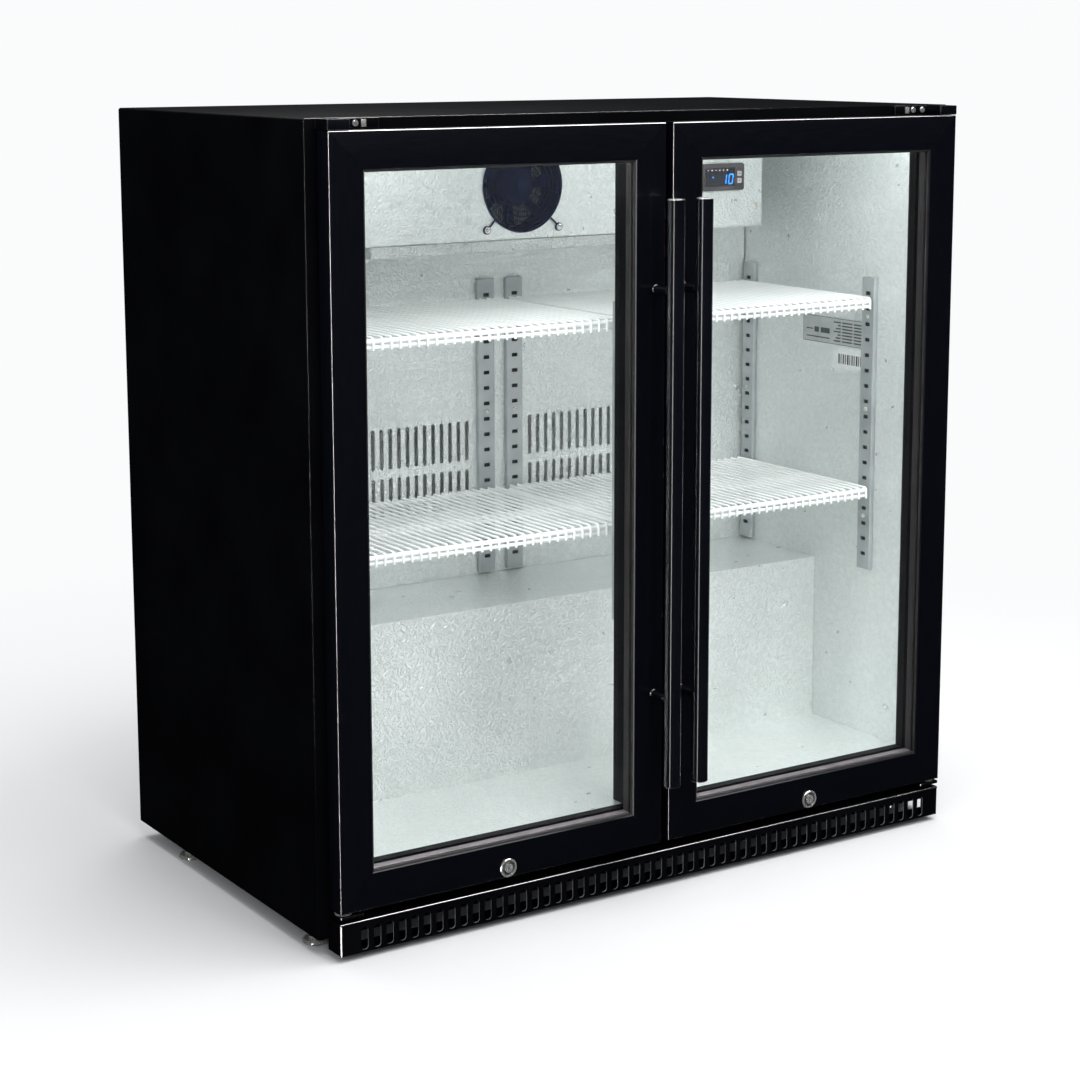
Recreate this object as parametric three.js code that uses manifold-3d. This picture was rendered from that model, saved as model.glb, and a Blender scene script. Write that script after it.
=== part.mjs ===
// Two-door under counter bottle fridge. Millimetres, +X to the right, the doors face -Y, +Z up.
// Z = 0 is the floor. Y = 0 is the face that the doors close on, until the whole group is centred at the end.
import * as THREE from "three";
import Module from "manifold-3d";
import { mergeVertices } from "three/addons/utils/BufferGeometryUtils.js";

const wasm = await Module();
wasm.setup();

// ---- Driving sizes ----
const WIDTH = 900; // over the side panels
const HEIGHT = 920; // floor to top panel
const BODY_DEPTH = 484; // cabinet face to rear panel
const FOOT_HEIGHT = 20;
const SIDE_WALL = 50; // skins and foam together
const TOP_WALL = 36;
const REAR_WALL = 42;
const FLOOR_WALL = 50;
const HUMP_WALL = 40; // foam over the machine room
const AIR_GAP = 26.5; // free height under the foam floor
const HUMP_DEPTH = 304; // hump and machine room, from the rear
const HUMP_FRONT = BODY_DEPTH - HUMP_DEPTH;
const HUMP_TOP = 316; // height above the floor
const DUCT_DEPTH = 144; // front face of the panel behind the shelves, from the rear
const DUCT_PANEL_Y = BODY_DEPTH - DUCT_DEPTH;
const DOOR_SIDE_INSET = 12;
const DOOR_TOP_INSET = 12;
const DOOR_BOTTOM = 56;
const DOOR_MIDDLE_GAP = 10;
const DOOR_THICK = 26;
const DOOR_STANDOFF = 5; // door back to cabinet face, filled by the gasket
const FRAME_WIDTH = 42;
const KICK_BOTTOM = 8;
const KICK_TOP = 45;
const LOWER_SHELF_RISE = 114; // middle of its wires above the hump
const UPPER_SHELF_DROP = 245; // middle of its wires below the top panel
const SHELF_FRONT = 60;
const HANDLE_BOTTOM = 139;
const HANDLE_DROP = 96; // bar end below the top panel
const HANDLE_LENGTH = HEIGHT - HANDLE_DROP - HANDLE_BOTTOM;
const HANDLE_R = 10;
const HANDLE_REACH = 40; // bar centre line in front of the door
const FAN_X = -30;
const FAN_DROP = 96; // below the top panel
const COVER_BELOW_FAN = 66;
const TRAY_HEIGHT = 14;

// ---- Sheet, clearances and small sizes ----
const CLEAR = 0.3; // between touching pieces
const SKIN = 1;
const LINER = 0.8;
const PANE = 4;
const PANE_SPACE = 10;
const GLASS_LAP = 8; // how far the panes go into the frame
const SPACER_SHOWS = 2.5; // how far the spacer shows inside the frame
const FRAME_LIP = 3;
const GASKET_WIDTH = 14;
const GASKET_INSET = 12;
const GASKET_BOTTOM_INSET = 24; // leaves room for the lock cam
const MULLION_HALF = 34;
const MULLION_DEPTH = 30;
const PIVOT_INSET = 10; // from the door's side edge
const PIN_R = 4;
const PIN_BORE_R = 4.3;
const LOCK_ABOVE_DOOR_BOTTOM = 12;
const CAM_REACH = 30;
const KICK_PITCH = 16;
const KICK_END = 20; // plain sheet beside the last slot, at least
const AIR_PITCH = 12.5;
const SLOT_PITCH = 20; // shelf support slots
const STRIP_TOP_GAP = 44; // under the drip tray
const STRIP_WIDTH = 24.8;
const STRIP_DEPTH = 6;
const STRIP_OFFSET = 21.3; // rear pair, from the middle
const SHELF_WIRES = 28;

// ---- Derived sizes ----
const halfW = WIDTH / 2;
const inHalf = halfW - SIDE_WALL;
const foamHalf = halfW - SKIN - CLEAR;
const baseTop = FOOT_HEIGHT + 1.5;
const foamBottom = baseTop + CLEAR;
const foamTop = HEIGHT - SKIN - CLEAR;
const ceiling = HEIGHT - TOP_WALL;
const airTop = baseTop + AIR_GAP;
const floorTop = airTop + FLOOR_WALL;
const rearInner = BODY_DEPTH - REAR_WALL;
const foamRear = BODY_DEPTH - SKIN - CLEAR;
const faceDepth = 12;
const doorBack = -DOOR_STANDOFF;
const doorFront = doorBack - DOOR_THICK;
const doorTop = HEIGHT - DOOR_TOP_INSET;
const doorOuter = halfW - DOOR_SIDE_INSET;
const doorInner = DOOR_MIDDLE_GAP / 2;
const pivotX = doorOuter - PIVOT_INSET;
const pivotY = doorFront + DOOR_THICK / 2;
const lockX = (doorOuter + doorInner) / 2;
const lockZ = DOOR_BOTTOM + LOCK_ABOVE_DOOR_BOTTOM;
const machineFront = HUMP_FRONT + LINER + CLEAR + HUMP_WALL;
const machineTop = HUMP_TOP - HUMP_WALL;
const coverFront = DUCT_PANEL_Y - 105;
const coverHalf = inHalf - 54;
const fanZ = HEIGHT - FAN_DROP;
const coverBottom = fanZ - COVER_BELOW_FAN;
const trayBottom = coverBottom - TRAY_HEIGHT;
const stripBottom = HUMP_TOP + 4;
const SLOTS = Math.floor((trayBottom - STRIP_TOP_GAP - stripBottom) / SLOT_PITCH) - 1;
const stripTop = stripBottom + SLOT_PITCH * (SLOTS + 1);

// ---- Helpers ----
function solid(geometry) {
  const bare = geometry.index ? geometry.toNonIndexed() : geometry.clone();
  bare.deleteAttribute("normal");
  bare.deleteAttribute("uv");
  const merged = mergeVertices(bare, 1e-4);
  return new wasm.Manifold(
    new wasm.Mesh({
      numProp: 3,
      vertProperties: new Float32Array(merged.attributes.position.array),
      triVerts: new Uint32Array(merged.index.array),
    }),
  );
}

function geometryOf(body) {
  const mesh = body.getMesh();
  const flat = new Float32Array(mesh.numVert * 3);
  for (let i = 0; i < mesh.numVert; i++) {
    flat.set(mesh.vertProperties.subarray(i * mesh.numProp, i * mesh.numProp + 3), i * 3);
  }
  const g = new THREE.BufferGeometry();
  g.setAttribute("position", new THREE.BufferAttribute(flat, 3));
  g.setIndex(new THREE.BufferAttribute(new Uint32Array(mesh.triVerts), 1));
  g.computeVertexNormals();
  return g;
}

const join = (first, ...rest) => rest.reduce((sum, body) => sum.add(body), first);
const cut = (first, ...rest) => rest.reduce((left, body) => left.subtract(body), first);

// A box between two corners, whichever way round they are given.
function box([xa, xb], [ya, yb], [za, zb]) {
  const g = new THREE.BoxGeometry(Math.abs(xb - xa), Math.abs(yb - ya), Math.abs(zb - za));
  g.translate((xa + xb) / 2, (ya + yb) / 2, (za + zb) / 2);
  return solid(g);
}

function rod(axis, r, from, to, [a, b], segments = 16) {
  const g = new THREE.CylinderGeometry(r, r, Math.abs(to - from), segments);
  const middle = (from + to) / 2;
  if (axis === "z") g.rotateX(Math.PI / 2).translate(a, b, middle);
  if (axis === "y") g.translate(a, middle, b);
  return solid(g);
}

// A round body about +Y or +Z. The profile is pairs of radius and height along the axis, in a closed loop or from
// axis to axis.
function turned(axis, profile, [a, b], segments = 20) {
  let area = 0;
  profile.forEach(([r, h], i) => {
    const [rn, hn] = profile[(i + 1) % profile.length];
    area += r * hn - rn * h;
  });
  const points = (area > 0 ? profile : [...profile].reverse()).map(([r, h]) => new THREE.Vector2(r, h));
  const onAxis = profile[0][0] === 0;
  if (!onAxis) points.push(points[0].clone());
  const g = new THREE.LatheGeometry(points, segments);
  if (axis === "z") g.rotateX(Math.PI / 2).translate(a, b, 0);
  if (axis === "y") g.translate(a, 0, b);
  return solid(g);
}

// A folded sheet along +X. The outline is pairs of depth and height, anticlockwise seen from +X.
function folded(outline, [xa, xb]) {
  const shape = new THREE.Shape(outline.map(([y, z]) => new THREE.Vector2(y, z)));
  const g = new THREE.ExtrudeGeometry(shape, { depth: xb - xa, bevelEnabled: false });
  const [alongX, alongY, alongZ] = [[1, 0, 0], [0, 1, 0], [0, 0, 1]].map((v) => new THREE.Vector3(...v));
  g.applyMatrix4(new THREE.Matrix4().makeBasis(alongY, alongZ, alongX)).translate(xa, 0, 0);
  return solid(g);
}

// An upright sheet facing the doors, between depths y0 and y1, with rectangular openings.
function uprightSheet(xs, zs, [y0, y1], openings) {
  const holes = openings.map(([hx, hz]) => box(hx, [y0 - 1, y1 + 1], hz));
  return cut(box(xs, [y0, y1], zs), wasm.Manifold.union(holes));
}

// A level sheet between heights z0 and z1, with rectangular openings.
function levelSheet(xs, ys, [z0, z1], openings) {
  const holes = openings.map(([hx, hy]) => box(hx, hy, [z0 - 1, z1 + 1]));
  return cut(box(xs, ys, [z0, z1]), wasm.Manifold.union(holes));
}

const inset = ([a, b], by) => (a < b ? [a + by, b - by] : [a - by, b + by]);

const finish = {
  black: { color: 0x0b0b0c, roughness: 0.35, metalness: 0.1 },
  frame: { color: 0x101012, roughness: 0.3, metalness: 0.6 },
  embossed: { color: 0xd9dedb, roughness: 0.35, metalness: 0.9 },
  galvanised: { color: 0xa9adaf, roughness: 0.45, metalness: 0.8 },
  foam: { color: 0xe8dcae, roughness: 0.9, metalness: 0 },
  glass: { color: 0xeef6f4, roughness: 0.05, metalness: 0, transparent: true, opacity: 0.25 },
  rubber: { color: 0x141414, roughness: 0.8, metalness: 0 },
  chrome: { color: 0xdadada, roughness: 0.15, metalness: 1 },
  white: { color: 0xf2f4f3, roughness: 0.4, metalness: 0 },
  plastic: { color: 0x202328, roughness: 0.5, metalness: 0 },
  copper: { color: 0xb87349, roughness: 0.35, metalness: 0.9 },
};
const materials = Object.fromEntries(
  Object.entries(finish).map(([key, values]) => [key, new THREE.MeshStandardMaterial(values)]),
);

const fridge = new THREE.Group();
fridge.name = "under_counter_fridge";
function add(name, body, material) {
  const mesh = new THREE.Mesh(geometryOf(body), materials[material]);
  mesh.name = name;
  fridge.add(mesh);
}

// ---- Outer case ----
add(
  "outer_case",
  cut(
    box([-halfW, halfW], [0, BODY_DEPTH], [FOOT_HEIGHT, HEIGHT]),
    box([-halfW + SKIN, halfW - SKIN], [-1, BODY_DEPTH + 1], [FOOT_HEIGHT - 1, HEIGHT - SKIN]),
  ),
  "black",
);
add(
  "rear_panel",
  box([-foamHalf, foamHalf], [BODY_DEPTH - SKIN, BODY_DEPTH], [machineTop + CLEAR, foamTop]),
  "galvanised",
);
const louvres = [];
for (let i = 0; i < 20; i++) {
  const x = -370 + i * 36;
  louvres.push([[x - 5, x + 5], [84, 224]]);
}
const gland = [inHalf - 30, 60];
add(
  "machine_room_cover",
  cut(
    uprightSheet([-foamHalf, foamHalf], [foamBottom, machineTop], [BODY_DEPTH - SKIN, BODY_DEPTH], louvres),
    rod("y", 7.3, BODY_DEPTH - 5, BODY_DEPTH + 5, gland, 16),
  ),
  "galvanised",
);
add(
  "base_plate",
  box([-foamHalf, foamHalf], [CLEAR, foamRear], [FOOT_HEIGHT, baseTop]),
  "galvanised",
);

// ---- Foam and liner ----
const linerOut = LINER + CLEAR;
add(
  "foam_insulation",
  cut(
    box([-foamHalf, foamHalf], [faceDepth + CLEAR, foamRear], [foamBottom, foamTop]),
    box([-inHalf - linerOut, inHalf + linerOut], [0, rearInner + linerOut], [HUMP_TOP - linerOut, ceiling + linerOut]),
    box([-inHalf - linerOut, inHalf + linerOut], [0, HUMP_FRONT + linerOut], [floorTop - linerOut, ceiling]),
    box([-inHalf, inHalf], [machineFront, BODY_DEPTH + 1], [0, machineTop]),
    box([-inHalf, inHalf], [0, machineFront + 1], [0, airTop]),
  ),
  "foam",
);
add(
  "liner_walls",
  cut(
    box([-inHalf - LINER, inHalf + LINER], [faceDepth + CLEAR, rearInner + LINER], [floorTop - LINER, ceiling + LINER]),
    box([-inHalf, inHalf], [0, rearInner], [0, ceiling]),
    box([-inHalf - 5, inHalf + 5], [HUMP_FRONT + LINER, rearInner + 5], [0, HUMP_TOP - LINER]),
  ),
  "embossed",
);
const sheetHalf = inHalf - CLEAR;
add(
  "liner_floor_and_hump",
  folded(
    [
      [faceDepth + CLEAR, floorTop - LINER],
      [HUMP_FRONT + LINER, floorTop - LINER],
      [HUMP_FRONT + LINER, HUMP_TOP - LINER],
      [rearInner - CLEAR, HUMP_TOP - LINER],
      [rearInner - CLEAR, HUMP_TOP],
      [HUMP_FRONT, HUMP_TOP],
      [HUMP_FRONT, floorTop],
      [faceDepth + CLEAR, floorTop],
    ],
    [-sheetHalf, sheetHalf],
  ),
  "embossed",
);

// ---- Cabinet face ----
add(
  "cabinet_face_frame",
  cut(
    box([-foamHalf, foamHalf], [0, faceDepth], [foamBottom, foamTop]),
    box([-inHalf, inHalf], [-1, faceDepth + 1], [floorTop, ceiling]),
    box([-inHalf, inHalf], [-1, faceDepth + 1], [0, airTop]),
  ),
  "black",
);
add(
  "centre_mullion",
  box([-MULLION_HALF, MULLION_HALF], [0, MULLION_DEPTH], [floorTop + CLEAR, ceiling - CLEAR]),
  "black",
);

// The kick grille is a channel with a row of upright slots, and a slot over each lock for its cam.
const kickHalf = doorOuter - CLEAR;
const kickFront = doorFront + 1;
const kickSkin = 1.2;
const kickCount = 2 * Math.floor((kickHalf - KICK_END) / KICK_PITCH);
const kickSlots = [];
for (let i = 0; i < kickCount; i++) {
  const x = (i - (kickCount - 1) / 2) * KICK_PITCH;
  kickSlots.push([[x - 4.5, x + 4.5], [KICK_BOTTOM + 3, KICK_TOP - 8.5]]);
}
const camSlots = [-1, 1].map((side) =>
  box([side * (lockX + 8), side * (lockX - 24)], [doorBack - 1.5, -1], [KICK_TOP - 5, KICK_TOP + 1]),
);
add(
  "kick_grille",
  cut(
    join(
      uprightSheet([-kickHalf, kickHalf], [KICK_BOTTOM, KICK_TOP], [kickFront, kickFront + kickSkin], kickSlots),
      box([-kickHalf, kickHalf], [kickFront, -CLEAR], [KICK_TOP - kickSkin, KICK_TOP]),
      box([-kickHalf, kickHalf], [kickFront, -CLEAR], [KICK_BOTTOM, KICK_BOTTOM + kickSkin]),
      box([-kickHalf, -kickHalf + kickSkin], [kickFront, -CLEAR], [KICK_BOTTOM, KICK_TOP]),
      box([kickHalf - kickSkin, kickHalf], [kickFront, -CLEAR], [KICK_BOTTOM, KICK_TOP]),
    ),
    ...camSlots,
  ),
  "black",
);

// ---- Feet ----
for (const [end, y] of [["front", 45], ["rear", 375]]) {
  for (const [name, side] of [["left", -1], ["right", 1]]) {
    const profile = [[0, 0], [15, 0], [15, 5], [10, 8], [5, 8], [5, FOOT_HEIGHT - CLEAR], [0, FOOT_HEIGHT - CLEAR]];
    add(`foot_${end}_${name}`, turned("z", profile, [side * (halfW - 20), y], 16), "chrome");
  }
}

// ---- Shelf supports ----
// A slotted channel. place() turns its own width, depth and height ranges into a box.
function slottedStrip(place, width, columns) {
  const holes = [];
  for (const column of columns) {
    for (let i = 1; i <= SLOTS; i++) {
      const z = stripBottom + i * SLOT_PITCH;
      holes.push(place([column - 4.5, column + 4.5], [STRIP_DEPTH - 3, STRIP_DEPTH + 2], [z - 2.5, z + 2.5]));
    }
  }
  return cut(
    place([-width / 2, width / 2], [0, STRIP_DEPTH], [stripBottom, stripTop]),
    place([-width / 2 + 1.2, width / 2 - 1.2], [-1, STRIP_DEPTH - 1.2], [stripBottom - 1, stripTop + 1]),
    wasm.Manifold.union(holes),
  );
}
const stripFace = inHalf - CLEAR;
for (const [name, side] of [["left", -1], ["right", 1]]) {
  for (const [end, y] of [["front", 77], ["rear", 323]]) {
    const place = (w, d, z) =>
      box([side * (stripFace - d[0]), side * (stripFace - d[1])], [y + w[0], y + w[1]], z);
    add(`shelf_strip_${name}_${end}`, slottedStrip(place, STRIP_WIDTH, [0]), "galvanised");
  }
  const place = (w, d, z) =>
    box(
      [side * STRIP_OFFSET + w[0], side * STRIP_OFFSET + w[1]],
      [DUCT_PANEL_Y - CLEAR - d[0], DUCT_PANEL_Y - CLEAR - d[1]],
      z,
    );
  add(`shelf_strip_centre_rear_${name}`, slottedStrip(place, STRIP_WIDTH, [0]), "galvanised");
}
const onMullion = (w, d, z) =>
  box(w, [MULLION_DEPTH + CLEAR + d[0], MULLION_DEPTH + CLEAR + d[1]], z);
add(
  "shelf_strip_centre_front",
  slottedStrip(onMullion, 2 * MULLION_HALF - 1, [-STRIP_OFFSET, STRIP_OFFSET]),
  "galvanised",
);

// ---- Shelves ----
const shelfOuter = stripFace - STRIP_DEPTH - 3;
const shelfInner = 4;
const shelfRear = DUCT_PANEL_Y - CLEAR - STRIP_DEPTH - 3;
const shelfRim = 5;
const shelfWire = 3;
const shelfHeights = { lower: HUMP_TOP + LOWER_SHELF_RISE, upper: HEIGHT - UPPER_SHELF_DROP };
for (const [level, middle] of Object.entries(shelfHeights)) {
  for (const [name, side] of [["left", -1], ["right", 1]]) {
    const clearWidth = shelfOuter - shelfInner - 2 * shelfRim;
    const gap = (clearWidth - SHELF_WIRES * shelfWire) / (SHELF_WIRES + 1);
    const gaps = [];
    for (let i = 0; i <= SHELF_WIRES; i++) {
      const x = shelfInner + shelfRim + i * (gap + shelfWire);
      gaps.push([[side * x, side * (x + gap)], [SHELF_FRONT + 4, shelfRear - shelfRim]]);
    }
    const xs = [side * shelfInner, side * shelfOuter];
    add(
      `${level}_shelf_${name}`,
      join(
        levelSheet(xs, [SHELF_FRONT, shelfRear], [middle - 2, middle + 2], gaps),
        box(xs, [SHELF_FRONT, SHELF_FRONT + 3.5], [middle - 14, middle + 2]),
      ),
      "white",
    );
  }
}

// ---- Duct panel behind the shelves ----
const controlX = [coverHalf - 113, coverHalf - 36];
const trayX = [104 - coverHalf, controlX[0] - 51];
const coilX = inset(trayX, 8);
const airSlots = [];
for (const side of [-1, 1]) {
  for (let i = 0; 48 + i * AIR_PITCH < stripFace - 60; i++) {
    const x = side * (48 + i * AIR_PITCH);
    for (const row of [HUMP_TOP + 88, HUMP_TOP + 151]) {
      airSlots.push([[x - 2.8, x + 2.8], [row, row + 52]]);
    }
  }
}
airSlots.push([inset(coilX, 12), [coverBottom + 14, coverBottom + 114]]);
add(
  "rear_duct_panel",
  uprightSheet(
    [-stripFace, stripFace],
    [HUMP_TOP + CLEAR, ceiling - CLEAR],
    [DUCT_PANEL_Y, DUCT_PANEL_Y + 1.2],
    airSlots,
  ),
  "embossed",
);

// ---- Evaporator, its cover and its fan ----
const controlZ = [HEIGHT - 113, HEIGHT - 78];
add(
  "evaporator_cover",
  cut(
    box([-coverHalf, coverHalf], [coverFront, DUCT_PANEL_Y - CLEAR], [coverBottom, ceiling - CLEAR]),
    box([-coverHalf + 1.2, coverHalf - 1.2], [coverFront + 1.2, DUCT_PANEL_Y], [coverBottom + 1.2, ceiling]),
    rod("y", 54, coverFront - 5, coverFront + 5, [FAN_X, fanZ], 32),
    box(inset(controlX, 3.5), [coverFront - 5, coverFront + 5], inset(controlZ, 3)),
  ),
  "embossed",
);
add(
  "drip_tray",
  cut(
    box(trayX, [coverFront + 1, DUCT_PANEL_Y - 2], [trayBottom, coverBottom - CLEAR]),
    box(inset(trayX, 1.2), [coverFront + 2.2, DUCT_PANEL_Y - 3.2], [trayBottom + 1.2, coverBottom + 1]),
  ),
  "white",
);
add(
  "evaporator_coil",
  box(coilX, [DUCT_PANEL_Y - 60, DUCT_PANEL_Y - 4], [coverBottom + 8, ceiling - CLEAR]),
  "embossed",
);

// A ring of fan blades about +Y, pitched, on a hub.
function fanBlades([x, z], [y0, y1], hubR, tipR, count, thickness) {
  const middle = (y0 + y1) / 2;
  const blades = [];
  for (let i = 0; i < count; i++) {
    const g = new THREE.BoxGeometry(tipR - hubR + 3, thickness, (y1 - y0) * 1.15);
    g.rotateX(0.9);
    g.translate((tipR + hubR - 3) / 2, 0, 0);
    g.rotateY((i * 2 * Math.PI) / count);
    g.translate(x, middle, z);
    blades.push(solid(g));
  }
  return join(rod("y", hubR, y0, y1, [x, z], 20), ...blades);
}

// A square fan frame about +Y with a motor on four struts at its rear.
function fanFrame([x, z], half, boreR, motorR, [y0, y1], strutDepth) {
  const motorY = [y1 - strutDepth, y1];
  return join(
    cut(box([x - half, x + half], [y0, y1], [z - half, z + half]), rod("y", boreR, y0 - 1, y1 + 1, [x, z], 28)),
    rod("y", motorR, motorY[0], motorY[1], [x, z], 16),
    box([x - boreR - 1, x + boreR + 1], motorY, [z - 2.5, z + 2.5]),
    box([x - 2.5, x + 2.5], motorY, [z - boreR - 1, z + boreR + 1]),
  );
}

const fanY = coverFront + 1.2 + CLEAR;
add("evaporator_fan_frame", fanFrame([FAN_X, fanZ], 58, 55, 27, [fanY, fanY + 38], 6), "plastic");
add("evaporator_fan_blades", fanBlades([FAN_X, fanZ], [fanY + 8, fanY + 28], 26, 51, 7, 2), "plastic");

const guardY = [coverFront - 6.5, coverFront - 4];
const guardRings = [57, 43, 29, 15].map((r) =>
  cut(
    rod("y", r, guardY[0], guardY[1], [FAN_X, fanZ], 20),
    rod("y", r - 2.4, guardY[0] - 1, guardY[1] + 1, [FAN_X, fanZ], 20),
  ),
);
const guardBars = [1, 3].map((quarter) => {
  const g = new THREE.BoxGeometry(2 * 78, guardY[1] - guardY[0], 3);
  g.rotateY((quarter * Math.PI) / 4).translate(FAN_X, (guardY[0] + guardY[1]) / 2, fanZ);
  return solid(g);
});
const guardFeet = [-1, 1].flatMap((u) =>
  [-1, 1].map((v) => rod("y", 4.5, guardY[0], coverFront - CLEAR, [FAN_X + u * 52.5, fanZ + v * 52.5], 8)),
);
add("evaporator_fan_guard", join(...guardRings, ...guardBars, ...guardFeet), "plastic");

// ---- Temperature controller ----
const buttonX = controlX[1] - 8;
const buttonMiddle = (controlZ[0] + controlZ[1]) / 2 - 0.5;
const buttons = { up: buttonMiddle + 4.6, down: buttonMiddle - 4.6 };
const buttonHalf = 3.1;
const bezelFront = coverFront - 6;
add(
  "controller",
  cut(
    join(
      box(controlX, [bezelFront, coverFront - CLEAR], controlZ),
      box(inset(controlX, 4), [coverFront - 2, coverFront + 50], inset(controlZ, 3.5)),
    ),
    ...Object.values(buttons).map((z) =>
      box(
        [buttonX - buttonHalf - 0.4, buttonX + buttonHalf + 0.4],
        [bezelFront - 1, bezelFront + 4],
        [z - buttonHalf - 0.4, z + buttonHalf + 0.4],
      ),
    ),
  ),
  "plastic",
);
for (const [name, z] of Object.entries(buttons)) {
  add(
    `controller_button_${name}`,
    box(
      [buttonX - buttonHalf, buttonX + buttonHalf],
      [bezelFront - 1, bezelFront + 2.8],
      [z - buttonHalf, z + buttonHalf],
    ),
    "white",
  );
}

// ---- Machine room ----
const compressorAt = [inHalf - 170, BODY_DEPTH - 129];
const dome = [[0, 26], [54, 26], [62, 36], [62, 146], [52, 168], [28, 180], [0, 182]];
add(
  "compressor",
  join(
    turned("z", dome, compressorAt, 20),
    box([compressorAt[0] - 80, compressorAt[0] + 80], [compressorAt[1] - 55, compressorAt[1] + 55], [foamBottom, 27]),
    box([compressorAt[0] + 55, compressorAt[0] + 82], [compressorAt[1] - 24, compressorAt[1] + 24], [70, 128]),
  ),
  "black",
);
const condenserX = [30 - inHalf, 210 - inHalf];
const condenserMid = [120 - inHalf, 114];
const condenserY = machineFront + 15;
add("condenser_coil", box(condenserX, [condenserY, condenserY + 40], [foamBottom, 206]), "copper");
add(
  "condenser_fan_frame",
  fanFrame(condenserMid, 90, 80, 26, [condenserY + 40 + CLEAR, condenserY + 72], 6),
  "galvanised",
);
add(
  "condenser_fan_blades",
  fanBlades(condenserMid, [condenserY + 45, condenserY + 62], 22, 75, 4, 2),
  "galvanised",
);
const glandProfile = [
  [3.5, BODY_DEPTH - 8],
  [7, BODY_DEPTH - 8],
  [7, BODY_DEPTH + CLEAR],
  [10, BODY_DEPTH + CLEAR],
  [10, BODY_DEPTH + 4],
  [6.5, BODY_DEPTH + 11],
  [3.5, BODY_DEPTH + 11],
];
add("cable_gland", turned("y", glandProfile, gland, 16), "rubber");

// ---- Doors ----
const paneFront = doorFront + FRAME_LIP + CLEAR;
const spacerFront = paneFront + PANE + CLEAR;
const backPaneFront = spacerFront + PANE_SPACE + CLEAR;
const grooveBack = backPaneFront + PANE + CLEAR;
for (const [name, side] of [["left", -1], ["right", 1]]) {
  const doorX = [side * doorInner, side * doorOuter];
  const doorZ = [DOOR_BOTTOM, doorTop];
  const openX = inset(doorX, FRAME_WIDTH);
  const openZ = inset(doorZ, FRAME_WIDTH);
  const pivot = [side * pivotX, pivotY];
  const lock = [side * lockX, lockZ];

  add(
    `${name}_door_frame`,
    cut(
      uprightSheet(doorX, doorZ, [doorFront, doorBack], [[openX, openZ]]),
      box(inset(openX, -GLASS_LAP - 1), [doorFront + FRAME_LIP, grooveBack], inset(openZ, -GLASS_LAP - 1)),
      rod("z", PIN_BORE_R, doorTop - 14, doorTop + 1, pivot, 16),
      rod("z", PIN_BORE_R, DOOR_BOTTOM - 1, DOOR_BOTTOM + 14, pivot, 16),
      rod("y", 8.3, doorFront - 1, doorBack + 1, lock, 20),
    ),
    "frame",
  );
  const paneX = inset(openX, -GLASS_LAP);
  const paneZ = inset(openZ, -GLASS_LAP);
  add(`${name}_door_outer_pane`, box(paneX, [paneFront, paneFront + PANE], paneZ), "glass");
  add(`${name}_door_inner_pane`, box(paneX, [backPaneFront, backPaneFront + PANE], paneZ), "glass");
  add(
    `${name}_door_glass_spacer`,
    uprightSheet(inset(openX, -4), inset(openZ, -4), [spacerFront, spacerFront + PANE_SPACE], [
      [inset(openX, SPACER_SHOWS), inset(openZ, SPACER_SHOWS)],
    ]),
    "embossed",
  );
  const sealX = inset(doorX, GASKET_INSET);
  const sealZ = [DOOR_BOTTOM + GASKET_BOTTOM_INSET, doorTop - GASKET_INSET];
  add(
    `${name}_door_gasket`,
    uprightSheet(sealX, sealZ, [doorBack + CLEAR, -CLEAR], [[inset(sealX, GASKET_WIDTH), inset(sealZ, GASKET_WIDTH)]]),
    "rubber",
  );

  const barX = side * (doorInner + 15);
  const barY = doorFront - HANDLE_REACH;
  const posts = [HANDLE_BOTTOM + 103, HANDLE_BOTTOM + HANDLE_LENGTH - 105].map((z) =>
    rod("y", 6, barY, doorFront - CLEAR, [barX, z], 12),
  );
  add(
    `${name}_door_handle`,
    join(rod("z", HANDLE_R, HANDLE_BOTTOM, HANDLE_BOTTOM + HANDLE_LENGTH, [barX, barY], 20), ...posts),
    "black",
  );

  const ring = [
    [5.9, doorFront - 2.2],
    [11, doorFront - 2.2],
    [11, doorFront - CLEAR],
    [8, doorFront - CLEAR],
    [8, doorBack - CLEAR],
    [5.9, doorBack - CLEAR],
  ];
  add(`${name}_door_lock_sleeve`, turned("y", ring, lock, 16), "chrome");
  const camTip = lock[0] - side * CAM_REACH;
  add(
    `${name}_door_lock_barrel`,
    cut(
      join(
        rod("y", 5.5, doorFront - 2.6, doorBack + 0.6, lock, 20),
        box([lock[0] + side * 5, camTip], [doorBack + 0.5, doorBack + 2.5], [lockZ - 5, lockZ + 5]),
      ),
      box([lock[0] - 0.8, lock[0] + 0.8], [doorFront - 5, doorFront + 4], [lockZ - 3, lockZ + 3]),
    ),
    "chrome",
  );

  // Hinges. Each bracket carries the pin that the door turns on.
  const bracketX = [side * doorOuter, side * (doorOuter - 26)];
  const bracketTop = [doorTop + 0.6, HEIGHT - 0.4];
  add(
    `${name}_hinge_top`,
    join(
      box(bracketX, [doorFront, -CLEAR], bracketTop),
      box([bracketX[0], side * (doorOuter - 76)], [-3.3, -CLEAR], bracketTop),
      rod("z", PIN_R, doorTop - 12, doorTop + 3, pivot, 16),
    ),
    "black",
  );
  const lowPlate = [DOOR_BOTTOM - 6, DOOR_BOTTOM - 3];
  add(
    `${name}_hinge_bottom`,
    join(
      box([side * doorOuter, side * (doorOuter - 30)], [doorFront, -CLEAR], lowPlate),
      box([side * doorOuter, side * (doorOuter - 60)], [-3.3, -CLEAR], [KICK_TOP + 1, lowPlate[1]]),
      rod("z", PIN_R, lowPlate[0] + 1, DOOR_BOTTOM + 12, pivot, 16),
    ),
    "galvanised",
  );
}

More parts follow.
